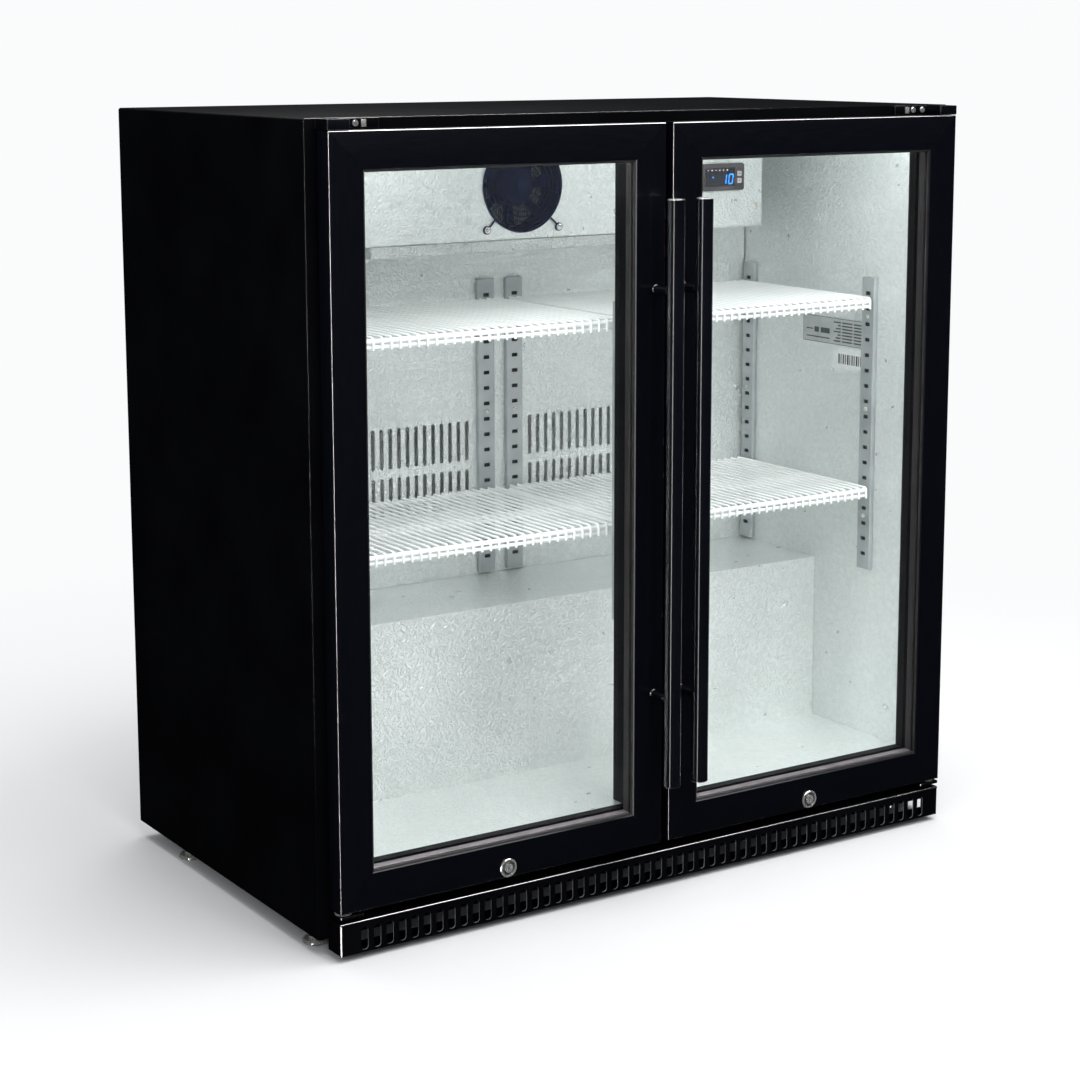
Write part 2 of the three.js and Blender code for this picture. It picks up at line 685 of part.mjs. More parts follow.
// ---- Centre the whole fridge on its footprint ----
const frontmost = doorFront - HANDLE_REACH - HANDLE_R;
const rearmost = BODY_DEPTH + 11;
fridge.position.y = -(frontmost + rearmost) / 2;

const group = new THREE.Group();
group.add(fridge);
export default group;
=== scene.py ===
"""Looks of a two-door under counter bottle fridge. Metres, +Z up, the doors face -Y, the floor is Z = 0."""

import math

import bmesh
import bpy
from mathutils import Matrix, Vector


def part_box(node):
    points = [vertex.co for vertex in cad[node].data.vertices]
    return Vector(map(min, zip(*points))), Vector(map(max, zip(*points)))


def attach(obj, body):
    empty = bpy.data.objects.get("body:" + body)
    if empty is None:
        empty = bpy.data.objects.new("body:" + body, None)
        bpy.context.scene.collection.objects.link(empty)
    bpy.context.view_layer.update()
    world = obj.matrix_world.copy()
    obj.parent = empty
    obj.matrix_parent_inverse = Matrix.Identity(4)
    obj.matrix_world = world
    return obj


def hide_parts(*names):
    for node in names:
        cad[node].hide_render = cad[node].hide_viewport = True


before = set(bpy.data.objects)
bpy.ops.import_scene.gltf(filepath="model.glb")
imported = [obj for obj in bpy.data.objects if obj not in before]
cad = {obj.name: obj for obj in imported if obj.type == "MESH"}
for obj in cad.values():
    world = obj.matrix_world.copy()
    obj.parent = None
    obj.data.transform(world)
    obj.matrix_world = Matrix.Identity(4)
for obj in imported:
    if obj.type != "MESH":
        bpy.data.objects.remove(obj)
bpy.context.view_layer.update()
scene = bpy.context.scene

MM = 0.001
SIDES = (("left", -1), ("right", 1))
FACE_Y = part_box("cabinet_face_frame")[0].y  # the plane that the doors close on
LINER_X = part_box("rear_duct_panel")[1].x + 0.3 * MM  # inner face of the side walls
FRAME_WIDTH = 42 * MM
FRONT = Matrix.Rotation(math.radians(90), 4, "X")  # stands a flat sheet up to face -Y
KICK_PITCH = 16 * MM
KICK_SLOTS = 52
STRIP_PAIR = 21.3 * MM  # rear middle strips, from the middle
WIRES = 33  # on each shelf
CLIP_DROP = 8.3 * MM  # clip under the top of the shelf wires
LAMP_STRENGTH = 24.0


# ---------------------------------------------------------------- node trees
def add_node(tree, kind, inputs=None, **settings):
    node = tree.nodes.new(kind)
    for key, value in settings.items():
        setattr(node, key, value)
    for key, value in (inputs or {}).items():
        if isinstance(value, bpy.types.NodeSocket):
            tree.links.new(value, node.inputs[key])
        else:
            node.inputs[key].default_value = value
    return node


class Finish:
    """A procedural surface in Object coordinates. Numbers that don't vary go straight on the shader."""

    def __init__(self, name, **uniform):
        self.material = bpy.data.materials.new(name)
        self.material.use_nodes = True
        self.tree = self.material.node_tree
        self.tree.nodes.clear()
        self.shader = self.node("ShaderNodeBsdfPrincipled")
        self.node("ShaderNodeOutputMaterial", {"Surface": self.shader.outputs[0]})
        self.place = self.node("ShaderNodeTexCoord").outputs["Object"]
        self.relief = None
        for key, value in uniform.items():
            self.shader.inputs[key.replace("_", " ")].default_value = value

    def node(self, kind, inputs=None, **settings):
        return add_node(self.tree, kind, inputs, **settings)

    def mapped(self, scale=(1, 1, 1), location=(0, 0, 0), rotation=(0, 0, 0)):
        inputs = {"Vector": self.place, "Scale": scale, "Location": location, "Rotation": rotation}
        return self.node("ShaderNodeMapping", inputs).outputs[0]

    def noise(self, scale, detail=2.0, distortion=0.0, roughness=0.5, at=None):
        inputs = {
            "Vector": at or self.place,
            "Scale": scale,
            "Detail": detail,
            "Distortion": distortion,
            "Roughness": roughness,
        }
        return self.node("ShaderNodeTexNoise", inputs).outputs[0]

    def cells(self, scale, output="Distance", at=None, **settings):
        inputs = {"Vector": at or self.place, "Scale": scale}
        return self.node("ShaderNodeTexVoronoi", inputs, **settings).outputs[output]

    def waves(self, scale, at=None, distortion=0.0, direction="X", profile="SIN"):
        inputs = {"Vector": at or self.place, "Scale": scale, "Distortion": distortion}
        settings = {"wave_type": "BANDS", "bands_direction": direction, "wave_profile": profile}
        return self.node("ShaderNodeTexWave", inputs, **settings).outputs["Fac"]

    def spread(self, value, low, high, start=0.0, end=1.0):
        """value between start and end, carried to low .. high."""
        inputs = {"Value": value, "From Min": start, "From Max": end, "To Min": low, "To Max": high}
        return self.node("ShaderNodeMapRange", inputs).outputs[0]

    def ramp(self, value, *stops):
        node = self.node("ShaderNodeValToRGB", {"Fac": value})
        elements = node.color_ramp.elements
        while len(elements) < len(stops):
            elements.new(0.5)
        for element, (position, colour) in zip(elements, stops):
            element.position = position
            element.color = (*colour, 1) if len(colour) == 3 else colour
        return node.outputs["Color"]

    def sum(self, a, b, operation="ADD"):
        return self.node("ShaderNodeMath", {0: a, 1: b}, operation=operation).outputs[0]

    def colour(self, socket):
        self.tree.links.new(socket, self.shader.inputs["Base Color"])
        return self

    def rough(self, socket):
        self.tree.links.new(socket, self.shader.inputs["Roughness"])
        return self

    def bump(self, height, distance, strength=1.0):
        inputs = {"Height": height, "Distance": distance, "Strength": strength}
        if self.relief:
            inputs["Normal"] = self.relief
        self.relief = self.node("ShaderNodeBump", inputs).outputs[0]
        self.tree.links.new(self.relief, self.shader.inputs["Normal"])
        return self


def two_tone(finish, scale, first, second, detail=3.0, low=0.35, high=0.65):
    return finish.ramp(finish.noise(scale, detail), (low, first), (high, second))


# ---------------------------------------------------------------- finishes
def powder_coat():
    f = Finish("powder_coat", Specular_IOR_Level=0.05)
    f.colour(two_tone(f, 9, (0.0010, 0.0011, 0.0018), (0.0022, 0.0024, 0.0034)))
    f.rough(f.spread(f.noise(34, 4), 0.40, 0.54))
    f.bump(f.noise(820, 2), 0.00006, 0.55)
    return f.bump(f.noise(14, 1), 0.0012, 0.05)


def extruded_black(name, along):
    """Black anodised extrusion, with drawing lines along one axis ("X" or "Z")."""
    f = Finish(name, Specular_IOR_Level=0.22, Coat_Weight=0.2, Coat_Roughness=0.1)
    scale = (40, 900, 900) if along == "X" else (900, 900, 40)
    lines = f.noise(1, 3, at=f.mapped(scale))
    f.colour(f.ramp(lines, (0.3, (0.0009, 0.0011, 0.0026)), (0.75, (0.0022, 0.0026, 0.0052))))
    f.rough(f.spread(lines, 0.26, 0.36))
    f.bump(lines, 0.00002, 0.2)
    return f.bump(f.noise(7, 1), 0.002, 0.03)


def handle_black():
    f = Finish("handle_black", Specular_IOR_Level=0.5, Coat_Weight=0.6, Coat_Roughness=0.06)
    f.colour(two_tone(f, 12, (0.0014, 0.0016, 0.0034), (0.0026, 0.0030, 0.0056)))
    f.rough(f.spread(f.noise(60, 3), 0.16, 0.24))
    return f.bump(f.noise(300, 2), 0.00002, 0.15)


def painted_highlight_edge():
    """Bright metal put on the corners of coated parts: painted highlight lines on the black coat."""
    f = Finish("painted_highlight_edge", Metallic=1.0)
    f.colour(two_tone(f, 8, (0.50, 0.48, 0.50), (0.62, 0.60, 0.60)))
    return f.rough(f.spread(f.noise(40, 2), 0.22, 0.30))


def stucco(name="stucco_aluminium", shade_factor=1.0):
    """Aluminium rolled with short worm-like dents."""
    f = Finish(name, Metallic=0.6)
    # a shade_factor below 1 gives a darker copy: painted shade
    dents = f.spread(f.noise(190, 1.2, 1.25, 0.4), 0.0, 1.0, 0.36, 0.62)
    low = tuple(shade_factor * c for c in (0.72, 0.76, 0.75))
    high = tuple(shade_factor * c for c in (0.88, 0.915, 0.905))
    # the dent pattern also darkens the colour in its hollows: painted shade
    tone = f.sum(f.spread(f.noise(5, 2), 0.0, 0.5, 0.35, 0.65), f.spread(dents, 0.0, 0.5))
    f.colour(f.ramp(tone, (0.0, low), (1.0, high)))
    f.rough(f.spread(f.noise(60, 3), 0.24, 0.36))
    f.bump(dents, 0.0011, 0.7)
    return f.bump(f.noise(6, 2), 0.004, 0.10)


def galvanised(name="galvanised_steel", light=0.70):
    f = Finish(name, Metallic=0.9)
    flakes = f.cells(95, "Color")
    value = f.node("ShaderNodeSeparateColor", {"Color": flakes}).outputs[0]
    dark = (light * 0.78, light * 0.80, light * 0.82)
    pale = (light * 1.00, light * 1.02, light * 1.04)
    f.colour(f.ramp(value, (0.1, dark), (0.9, pale)))
    f.rough(f.spread(value, 0.28, 0.46))
    return f.bump(f.noise(420, 2), 0.00005, 0.4)


def strip_steel():
    f = Finish("strip_steel", Metallic=0.8)
    f.colour(two_tone(f, 30, (0.42, 0.45, 0.46), (0.50, 0.53, 0.54)))
    f.rough(f.spread(f.noise(160, 3), 0.34, 0.48))
    return f.bump(f.noise(500, 2), 0.00004, 0.3)


def zinc():
    f = Finish("zinc_plate", Metallic=0.75)
    f.colour(two_tone(f, 260, (0.62, 0.61, 0.57), (0.80, 0.80, 0.77)))
    f.rough(f.spread(f.noise(500, 3), 0.20, 0.36))
    return f.bump(f.noise(1500, 2), 0.00003, 0.4)


def chrome():
    f = Finish("chrome_plate", Metallic=0.82)
    f.colour(two_tone(f, 160, (0.78, 0.78, 0.79), (0.88, 0.88, 0.88)))
    f.rough(f.spread(f.noise(700, 3), 0.07, 0.17))
    return f.bump(f.noise(900, 2), 0.00002, 0.3)


def cut_aluminium():
    f = Finish("cut_aluminium", Metallic=1.0)
    lines = f.noise(1, 2, at=f.mapped((2600, 2600, 300)))
    f.colour(f.ramp(lines, (0.3, (0.72, 0.72, 0.74)), (0.7, (0.90, 0.90, 0.91))))
    f.rough(f.spread(lines, 0.22, 0.36))
    return f.bump(lines, 0.00002, 0.5)


def bronze_face():
    f = Finish("lock_face_bronze", Metallic=0.85)
    f.colour(two_tone(f, 900, (0.10, 0.085, 0.075), (0.20, 0.175, 0.155)))
    f.rough(f.spread(f.noise(1300, 2), 0.25, 0.42))
    return f.bump(f.noise(2400, 2), 0.00002, 0.4)


def white_coating():
    f = Finish("white_wire_coating", Coat_Weight=0.2, Coat_Roughness=0.2)
    f.colour(two_tone(f, 30, (0.92, 0.94, 0.94), (0.97, 0.98, 0.98)))
    f.rough(f.spread(f.noise(150, 3), 0.28, 0.44))
    return f.bump(f.noise(260, 2), 0.0001, 0.25)


def moulded(name, dark, pale, grain=1500, rough=(0.4, 0.55), **uniform):
    """Moulded plastic or rubber with a fine grain."""
    f = Finish(name, **uniform)
    f.colour(two_tone(f, 60, dark, pale))
    f.rough(f.spread(f.noise(200, 2), *rough))
    return f.bump(f.noise(grain, 2), 0.00005, 0.5)


def pane_glass():
    f = Finish("window_glass", Transmission_Weight=1.0, Roughness=0.0, IOR=1.15)
    facing = f.node("ShaderNodeLayerWeight", {"Blend": 0.35}).outputs["Facing"]
    return f.colour(f.ramp(facing, (0.25, (0.985, 0.992, 0.990)), (0.95, (0.78, 0.88, 0.85))))


def spacer_metal(name="spacer_aluminium", shade_factor=1.0):
    # a shade_factor below 1 gives a darker copy: painted shade
    f = Finish(name, Metallic=0.6)
    low = tuple(shade_factor * c for c in (0.19, 0.165, 0.18))
    high = tuple(shade_factor * c for c in (0.27, 0.235, 0.255))
    f.colour(two_tone(f, 45, low, high))
    f.rough(f.spread(f.noise(300, 3), 0.30, 0.45))
    return f.bump(f.noise(1200, 2), 0.00004, 0.4)


def lamp_cover():
    f = Finish("lamp_diffuser", Roughness=0.4)
    glow = f.ramp(f.waves(30, direction="X"), (0.0, (0.93, 0.98, 1.0)), (1.0, (1.0, 1.0, 0.98)))
    f.tree.links.new(glow, f.shader.inputs["Emission Color"])
    f.shader.inputs["Emission Strength"].default_value = LAMP_STRENGTH
    return f.colour(two_tone(f, 40, (0.88, 0.9, 0.9), (0.95, 0.96, 0.96)))


def lit(name, first, second, strength):
    f = Finish(name, Roughness=0.35)
    glow = two_tone(f, 500, first, second, 1.0)
    f.tree.links.new(glow, f.shader.inputs["Emission Color"])
    f.shader.inputs["Emission Strength"].default_value = strength
    return f.colour(glow)


def foam():
    f = Finish("rigid_foam", Roughness=0.9)
    f.colour(two_tone(f, 40, (0.62, 0.50, 0.26), (0.78, 0.66, 0.38)))
    return f.bump(f.cells(380), 0.0012, 0.6)


def finned():
    # fins drawn as bands: pale fin metal, with painted shade for the gaps between the fins
    f = Finish("finned_coil", Metallic=0.8)
    fins = f.waves(115, direction="X")
    f.colour(f.ramp(fins, (0.3, (0.10, 0.10, 0.11)), (0.7, (0.62, 0.64, 0.65))))
    f.rough(f.spread(f.noise(90, 2), 0.3, 0.5))
    return f.bump(fins, 0.0015, 0.8)


def copper():
    f = Finish("copper_tube", Metallic=1.0)
    f.colour(two_tone(f, 70, (0.42, 0.19, 0.11), (0.72, 0.38, 0.25)))
    return f.rough(f.spread(f.noise(260, 3), 0.22, 0.42))


def printed_label():
    f = Finish("label_paper", Specular_IOR_Level=0.3)
    f.colour(two_tone(f, 120, (0.74, 0.77, 0.77), (0.82, 0.85, 0.85)))
    f.rough(f.spread(f.noise(600, 2), 0.42, 0.58))
    return f.bump(f.noise(1400, 2), 0.00003, 0.3)


COAT = powder_coat().material
STILE = extruded_black("door_extrusion_upright", "Z").material
RAIL = extruded_black("door_extrusion_level", "X").material
HANDLE = handle_black().material
STUCCO = stucco().material
GALVANISED = galvanised().material
STRIP = strip_steel().material
# bright metal for coated corners: painted highlight lines
HIGHLIGHT_EDGE = painted_highlight_edge().material
ZINC = zinc().material
CHROME = chrome().material
CUT = cut_aluminium().material
BRONZE = bronze_face().material
WHITE_WIRE = white_coating().material
NAVY = moulded(
    "navy_plastic", (0.002, 0.006, 0.030), (0.004, 0.011, 0.048), 900, Specular_IOR_Level=0.08
).material
# lighter grey for the kick grille's slot walls: painted highlight outlines
SLOT_WALL_HIGHLIGHT = moulded("slot_wall_painted_highlight", (0.10, 0.10, 0.11), (0.22, 0.22, 0.24), 900, (0.3, 0.45)).material
BLACK_PLASTIC = moulded("black_plastic", (0.010, 0.010, 0.012), (0.020, 0.020, 0.023)).material
BEZEL = moulded("bezel_plastic", (0.060, 0.052, 0.058), (0.085, 0.074, 0.082), 1300).material
WINDOW = moulded("display_window", (0.003, 0.006, 0.014), (0.006, 0.011, 0.024), 400, (0.08, 0.14)).material
KEY = moulded("key_plastic", (0.55, 0.53, 0.54), (0.66, 0.64, 0.65), 1700).material
KEY_MARK = moulded("key_mark", (0.05, 0.045, 0.05), (0.08, 0.07, 0.08), 1700).material
RUBBER = moulded("black_rubber", (0.010, 0.010, 0.011), (0.022, 0.022, 0.023), 800, (0.55, 0.72)).material
# the drip tray is a darker copy of the liner: painted shade under the fan cover
SHADED_TRAY = stucco("tray_aluminium_painted_shade", 0.72).material
HOUSING = moulded("lamp_housing", (0.74, 0.77, 0.76), (0.82, 0.85, 0.84), 900, (0.35, 0.5)).material
SHELL_PAINT = moulded(
    "compressor_paint", (0.008, 0.008, 0.009), (0.016, 0.016, 0.017), 300, (0.25, 0.42)
).material
GLASS = pane_glass().material
SPACER = spacer_metal().material
SHADED_SPACER = spacer_metal("spacer_aluminium_shaded", 0.12).material
LAMP = lamp_cover().material
DIGIT = lit("digit_blue", (0.01, 0.20, 0.95), (0.02, 0.30, 1.0), 1.6).material
ICON = lit("icon_pale", (0.75, 0.62, 0.68), (0.95, 0.88, 0.92), 0.5).material
FOAM = foam().material
FINS = finned().material
COPPER = copper().material
LABEL = printed_label().material
PLATE = moulded("data_plate", (0.42, 0.44, 0.44), (0.50, 0.52, 0.52), 900, (0.4, 0.55)).material
INK = moulded("label_ink", (0.03, 0.035, 0.04), (0.06, 0.065, 0.07), 900).material


# ---------------------------------------------------------------- shapes
def put(axis, a, b, along):
    """A point at a, b across an axis and at along on it."""
    return Vector({"X": (along, a, b), "Y": (a, along, b), "Z": (a, b, along)}[axis])


def closed(bm):
    bmesh.ops.recalc_face_normals(bm, faces=bm.faces)
    return bm


def block(lo, hi, bevel=0.0, segments=2):
    bm = bmesh.new()
    low, high = Vector(map(min, lo, hi)), Vector(map(max, lo, hi))
    bmesh.ops.create_cube(bm, size=1)
    bmesh.ops.scale(bm, vec=high - low, verts=bm.verts)
    bmesh.ops.translate(bm, vec=(low + high) / 2, verts=bm.verts)
    if bevel:
        kwargs = {"segments": segments, "profile": 0.5, "affect": "EDGES", "clamp_overlap": True}
        bmesh.ops.bevel(bm, geom=bm.edges[:], offset=bevel, **kwargs)
    return closed(bm)


def turned(axis, centre, profile, steps=32, ring=False):
    """A (radius, along) profile turned about an axis. Only a ring's profile keeps off the axis and closes."""
    bm = bmesh.new()
    loops = []
    for radius, along in profile:
        count = steps if radius > 0 else 1
        turns = [2 * math.pi * i / steps for i in range(count)]
        ring_at = [(centre[0] + radius * math.cos(t), centre[1] + radius * math.sin(t)) for t in turns]
        loops.append([bm.verts.new(put(axis, a, b, along)) for a, b in ring_at])
    pairs = list(zip(loops, loops[1:])) + ([(loops[-1], loops[0])] if ring else [])
    for low, high in pairs:
        for i in range(steps):
            j = (i + 1) % steps
            corners = [low[i % len(low)], low[j % len(low)], high[j % len(high)], high[i % len(high)]]
            corners = list(dict.fromkeys(corners))
            if len(corners) > 2:
                bm.faces.new(corners)
    return closed(bm)


def swept(path, radius, steps=8, loop=False):
    """A round wire along a path of points."""
    bm = bmesh.new()
    points = [Vector(p) for p in path]
    count = len(points)
    rings = []
    side = None
    for i, point in enumerate(points):
        before = points[i - 1] if i or loop else point
        after = points[(i + 1) % count] if i < count - 1 or loop else point
        heading = (after - before).normalized()
        if side is None:
            side = heading.orthogonal().normalized()
        side = (side - heading * side.dot(heading)).normalized()
        other = heading.cross(side)
        turns = [2 * math.pi * k / steps for k in range(steps)]
        rings.append(
            [bm.verts.new(point + radius * (side * math.cos(t) + other * math.sin(t))) for t in turns]
        )
    for low, high in list(zip(rings, rings[1:])) + ([(rings[-1], rings[0])] if loop else []):
        for k in range(steps):
            bm.faces.new((low[k - 1], low[k], high[k], high[k - 1]))
    if not loop:
        bm.faces.new(rings[0])
        bm.faces.new(rings[-1])
    return closed(bm)


def arc(centre, radius, start, end, steps):
    turns = [math.radians(start + (end - start) * i / steps) for i in range(steps + 1)]
    return [(centre[0] + radius * math.cos(t), centre[1] + radius * math.sin(t)) for t in turns]


def rounded(x, z, radius, steps=4):
    """Outline of a rectangle with rounded corners."""
    (x0, x1), (z0, z1) = (sorted(x), sorted(z))
    r = min(radius, (x1 - x0) / 2 - 1e-6, (z1 - z0) / 2 - 1e-6)
    corners = ((x1 - r, z1 - r, 0), (x0 + r, z1 - r, 90), (x0 + r, z0 + r, 180), (x1 - r, z0 + r, 270))
    return [p for cx, cz, turn in corners for p in arc((cx, cz), r, turn, turn + 90, steps)]


def plate(outline, holes, axis, span, bevel=0.0):
    """A flat outline with holes, given thickness along an axis."""
    bm = bmesh.new()
    edges = []
    for ring in [outline, *holes]:
        verts = [bm.verts.new(put(axis, a, b, span[0])) for a, b in ring]
        edges += [bm.edges.new((verts[i - 1], verts[i])) for i in range(len(verts))]
    bmesh.ops.triangle_fill(bm, use_beauty=True, use_dissolve=False, edges=edges)
    made = bmesh.ops.extrude_face_region(bm, geom=bm.faces[:], use_keep_orig=True)["geom"]
    moved = [v for v in made if isinstance(v, bmesh.types.BMVert)]
    bmesh.ops.translate(bm, vec=put(axis, 0, 0, span[1] - span[0]), verts=moved)
    closed(bm)
    if bevel:
        rims = [e for e in bm.edges if len(e.link_faces) == 2 and e.calc_face_angle(0) > 1.2]
        bmesh.ops.bevel(
            bm, geom=rims, offset=bevel, segments=2, profile=0.5, affect="EDGES", clamp_overlap=True
        )
    return bm


def round_opening(opening, profile):
    """A profile of (outward, y) points carried round a rectangular opening as one closed ring."""
    bm = bmesh.new()
    (x0, x1), (z0, z1) = opening
    corners = ((x0, z0, -1, -1), (x1, z0, 1, -1), (x1, z1, 1, 1), (x0, z1, -1, 1))
    rings = [
        [bm.verts.new((x + sx * out, y, z + sz * out)) for out, y in profile] for x, z, sx, sz in corners
    ]
    for i in range(4):
        low, high = rings[i - 1], rings[i]
        for k in range(len(profile)):
            bm.faces.new((low[k - 1], low[k], high[k], high[k - 1]))
    return closed(bm)


def mitred_bars(opening, profile, gap):
    """The same profile as four separate bars with a fine gap at each mitre: [(bar, stands upright)]."""
    (x0, x1), (z0, z1) = opening
    corners = ((x0, z0, -1, -1), (x1, z0, 1, -1), (x1, z1, 1, 1), (x0, z1, -1, 1))
    bars = []
    for i in range(4):
        ends = (corners[i], corners[(i + 1) % 4])
        run = (Vector((ends[1][0], 0, ends[1][1])) - Vector((ends[0][0], 0, ends[0][1]))).normalized()
        bm = bmesh.new()
        rings = []
        for (x, z, sx, sz), shift in zip(ends, (gap, -gap)):
            points = [Vector((x + sx * out, y, z + sz * out)) + run * shift for out, y in profile]
            rings.append([bm.verts.new(p) for p in points])
        low, high = rings
        for k in range(len(profile)):
            bm.faces.new((low[k - 1], low[k], high[k], high[k - 1]))
        bm.faces.new(low)
        bm.faces.new(high)
        bars.append((closed(bm), i % 2 == 1))
    return bars


class Piece:
    """One finished piece: shapes and their finishes joined into a mesh that rides on a body."""

    def __init__(self, name, body, slot=None, replaces=()):
        self.name, self.body, self.slot, self.replaced = name, body, slot, replaces
        self.bm = bmesh.new()
        self.finishes = []

    def index(self, finish):
        if finish not in self.finishes:
            self.finishes.append(finish)
        return self.finishes.index(finish)

    def add(self, shape, finish, move=None, other=None):
        """shape is a bmesh or a mesh, move places it, other is (a second finish, the test for its faces)."""
        if isinstance(shape, bmesh.types.BMesh):
            mesh = bpy.data.meshes.new("shape")
            shape.to_mesh(mesh)
            shape.free()
        else:
            mesh = shape.copy()
        if move is not None:
            mesh.transform(move)
        mesh.materials.clear()
        for polygon in mesh.polygons:
            second = other and other[1](polygon.center, polygon.normal)
            polygon.material_index = self.index(other[0] if second else finish)
        self.bm.from_mesh(mesh)
        bpy.data.meshes.remove(mesh)
        return self

    def done(self, sharp=32):
        mesh = bpy.data.meshes.new(self.name)
        self.bm.to_mesh(mesh)
        self.bm.free()
        for finish in self.finishes:
            mesh.materials.append(finish)
        mesh.polygons.foreach_set("use_smooth", [True] * len(mesh.polygons))
        mesh.set_sharp_from_angle(angle=math.radians(sharp))
        made = bpy.data.objects.new(self.name, mesh)
        scene.collection.objects.link(made)
        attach(made, self.body)
        if self.replaced:
            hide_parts(*self.replaced)
        return made


# ---------------------------------------------------------------- Geometry Nodes
SOCKETS = {float: "NodeSocketFloat", int: "NodeSocketInt", tuple: "NodeSocketVector"}


def front_edges(lo, hi, reach=2.5 * MM):
    """Picks the faces that turn the corner from the front face to the outer faces of a box."""

    def chosen(centre, normal):
        near = min(centre.x - lo.x, hi.x - centre.x, centre.z - lo.z, hi.z - centre.z) < reach
        return near and -0.97 < normal.y < -0.2

    return chosen


class Grower:
    """A Geometry Nodes tree under construction, with named inputs for its sizes."""

    def __init__(self, name, **sizes):
        self.tree = bpy.data.node_groups.new(name, "GeometryNodeTree")
        face = self.tree.interface
        face.new_socket("Geometry", in_out="INPUT", socket_type="NodeSocketGeometry")
        for label, value in sizes.items():
            socket = face.new_socket(label, in_out="INPUT", socket_type=SOCKETS[type(value)])
            socket.default_value = value
        face.new_socket("Finish", in_out="INPUT", socket_type="NodeSocketMaterial")
        face.new_socket("Geometry", in_out="OUTPUT", socket_type="NodeSocketGeometry")
        self.given = self.tree.nodes.new("NodeGroupInput").outputs
        self.out = self.tree.nodes.new("NodeGroupOutput").inputs

    def node(self, kind, inputs=None, **settings):
        return add_node(self.tree, kind, inputs, **settings).outputs

    def math(self, a, operation, b=0.0):
        return self.node("ShaderNodeMath", {0: a, 1: b}, operation=operation)[0]

    def vector(self, x=0.0, y=0.0, z=0.0):
        return self.node("ShaderNodeCombineXYZ", {"X": x, "Y": y, "Z": z})[0]

    def join(self, *parts):
        node = self.tree.nodes.new("GeometryNodeJoinGeometry")
        for part in reversed(parts):
            self.tree.links.new(part, node.inputs[0])
        return node.outputs[0]

    def copies(self, points, instance, **inputs):
        return self.node(
            "GeometryNodeInstanceOnPoints", {"Points": points, "Instance": instance, **inputs}
        )[0]

    def wire(self, curve, radius, steps=8):
        ring = self.node("GeometryNodeCurvePrimitiveCircle", {"Resolution": steps, "Radius": radius})[0]
        return self.node(
            "GeometryNodeCurveToMesh", {"Curve": curve, "Profile Curve": ring, "Fill Caps": True}
        )[0]

    def ends(self, geometry):
        real = self.node("GeometryNodeRealizeInstances", {"Geometry": geometry})[0]
        named = self.node("GeometryNodeSetMaterial", {"Geometry": real, "Material": self.given["Finish"]})[0]
        self.tree.links.new(named, self.out["Geometry"])
        return self.tree


def grown(tree, source, finish, **sizes):
    """The plain mesh that a tree makes from a source mesh."""
    holder = bpy.data.objects.new("grown", source)
    scene.collection.objects.link(holder)
    modifier = holder.modifiers.new("grown", "NODES")
    modifier.node_group = tree
    given = {"Finish": finish, **sizes}
    for item in tree.interface.items_tree:
        if item.in_out == "INPUT" and item.name in given:
            modifier[item.identifier] = given[item.name]
    bpy.context.view_layer.update()
    evaluated = holder.evaluated_get(bpy.context.evaluated_depsgraph_get())
    mesh = bpy.data.meshes.new_from_object(evaluated)
    holder.modifiers.remove(modifier)
    bpy.data.objects.remove(holder)
    return mesh


def points_mesh(points):
    mesh = bpy.data.meshes.new("points")
    mesh.from_pydata([tuple(p) for p in points], [], [])
    return mesh


def path_mesh(points):
    mesh = bpy.data.meshes.new("path")
    mesh.from_pydata([tuple(p) for p in points], [(i, i + 1) for i in range(len(points) - 1)], [])
    return mesh


def mesh_of(bm):
    mesh = bpy.data.meshes.new("part")
    bm.to_mesh(mesh)
    bm.free()
    return mesh


def slotted_sheet_tree():
    """A flat sheet in XY with a rounded slot at each point of the source."""
    g = Grower(
        "slotted_sheet", Width=0.1, Height=0.1, Thickness=0.001, SlotWidth=0.01, SlotHeight=0.02, Corner=0.004
    )
    outer = g.node(
        "GeometryNodeCurvePrimitiveQuadrilateral", {"Width": g.given["Width"], "Height": g.given["Height"]}
    )[0]
    slot_sizes = {"Width": g.given["SlotWidth"], "Height": g.given["SlotHeight"]}
    slot = g.node("GeometryNodeCurvePrimitiveQuadrilateral", slot_sizes)[0]
    slot = g.node(
        "GeometryNodeFilletCurve",
        {"Curve": slot, "Radius": g.given["Corner"], "Limit Radius": True, "Count": 4}, mode="POLY"
    )[0]
    slots = g.node("GeometryNodeRealizeInstances", {"Geometry": g.copies(g.given["Geometry"], slot)})[0]
    sheet = g.node("GeometryNodeFillCurve", {"Curve": g.join(outer, slots)}, mode="TRIANGLES")[0]
    up = g.vector(0.0, 0.0, 1.0)
    raised = g.node(
        "GeometryNodeExtrudeMesh",
        {"Mesh": sheet, "Offset": up, "Offset Scale": g.given["Thickness"], "Individual": False},
        mode="FACES",
    )[0]
    under = g.node("GeometryNodeFlipFaces", {"Mesh": sheet})[0]
    solid = g.node("GeometryNodeMergeByDistance", {"Geometry": g.join(raised, under), "Distance": 1e-6})[0]
    return g.ends(solid)


def wire_row_tree():
    """A round wire along the source's path, repeated along a line."""
    g = Grower("wire_row", Count=10, Step=(0.01, 0.0, 0.0), Radius=0.0015, Bend=0.005)
    curve = g.node("GeometryNodeMeshToCurve", {"Mesh": g.given["Geometry"]})[0]
    curve = g.node(
        "GeometryNodeFilletCurve",
        {"Curve": curve, "Radius": g.given["Bend"], "Limit Radius": True, "Count": 4}, mode="POLY"
    )[0]
    wire = g.wire(curve, g.given["Radius"], 7)
    line = g.node(
        "GeometryNodeMeshLine", {"Count": g.given["Count"], "Offset": g.given["Step"]}, mode="OFFSET"
    )[0]
    return g.ends(g.copies(line, wire))


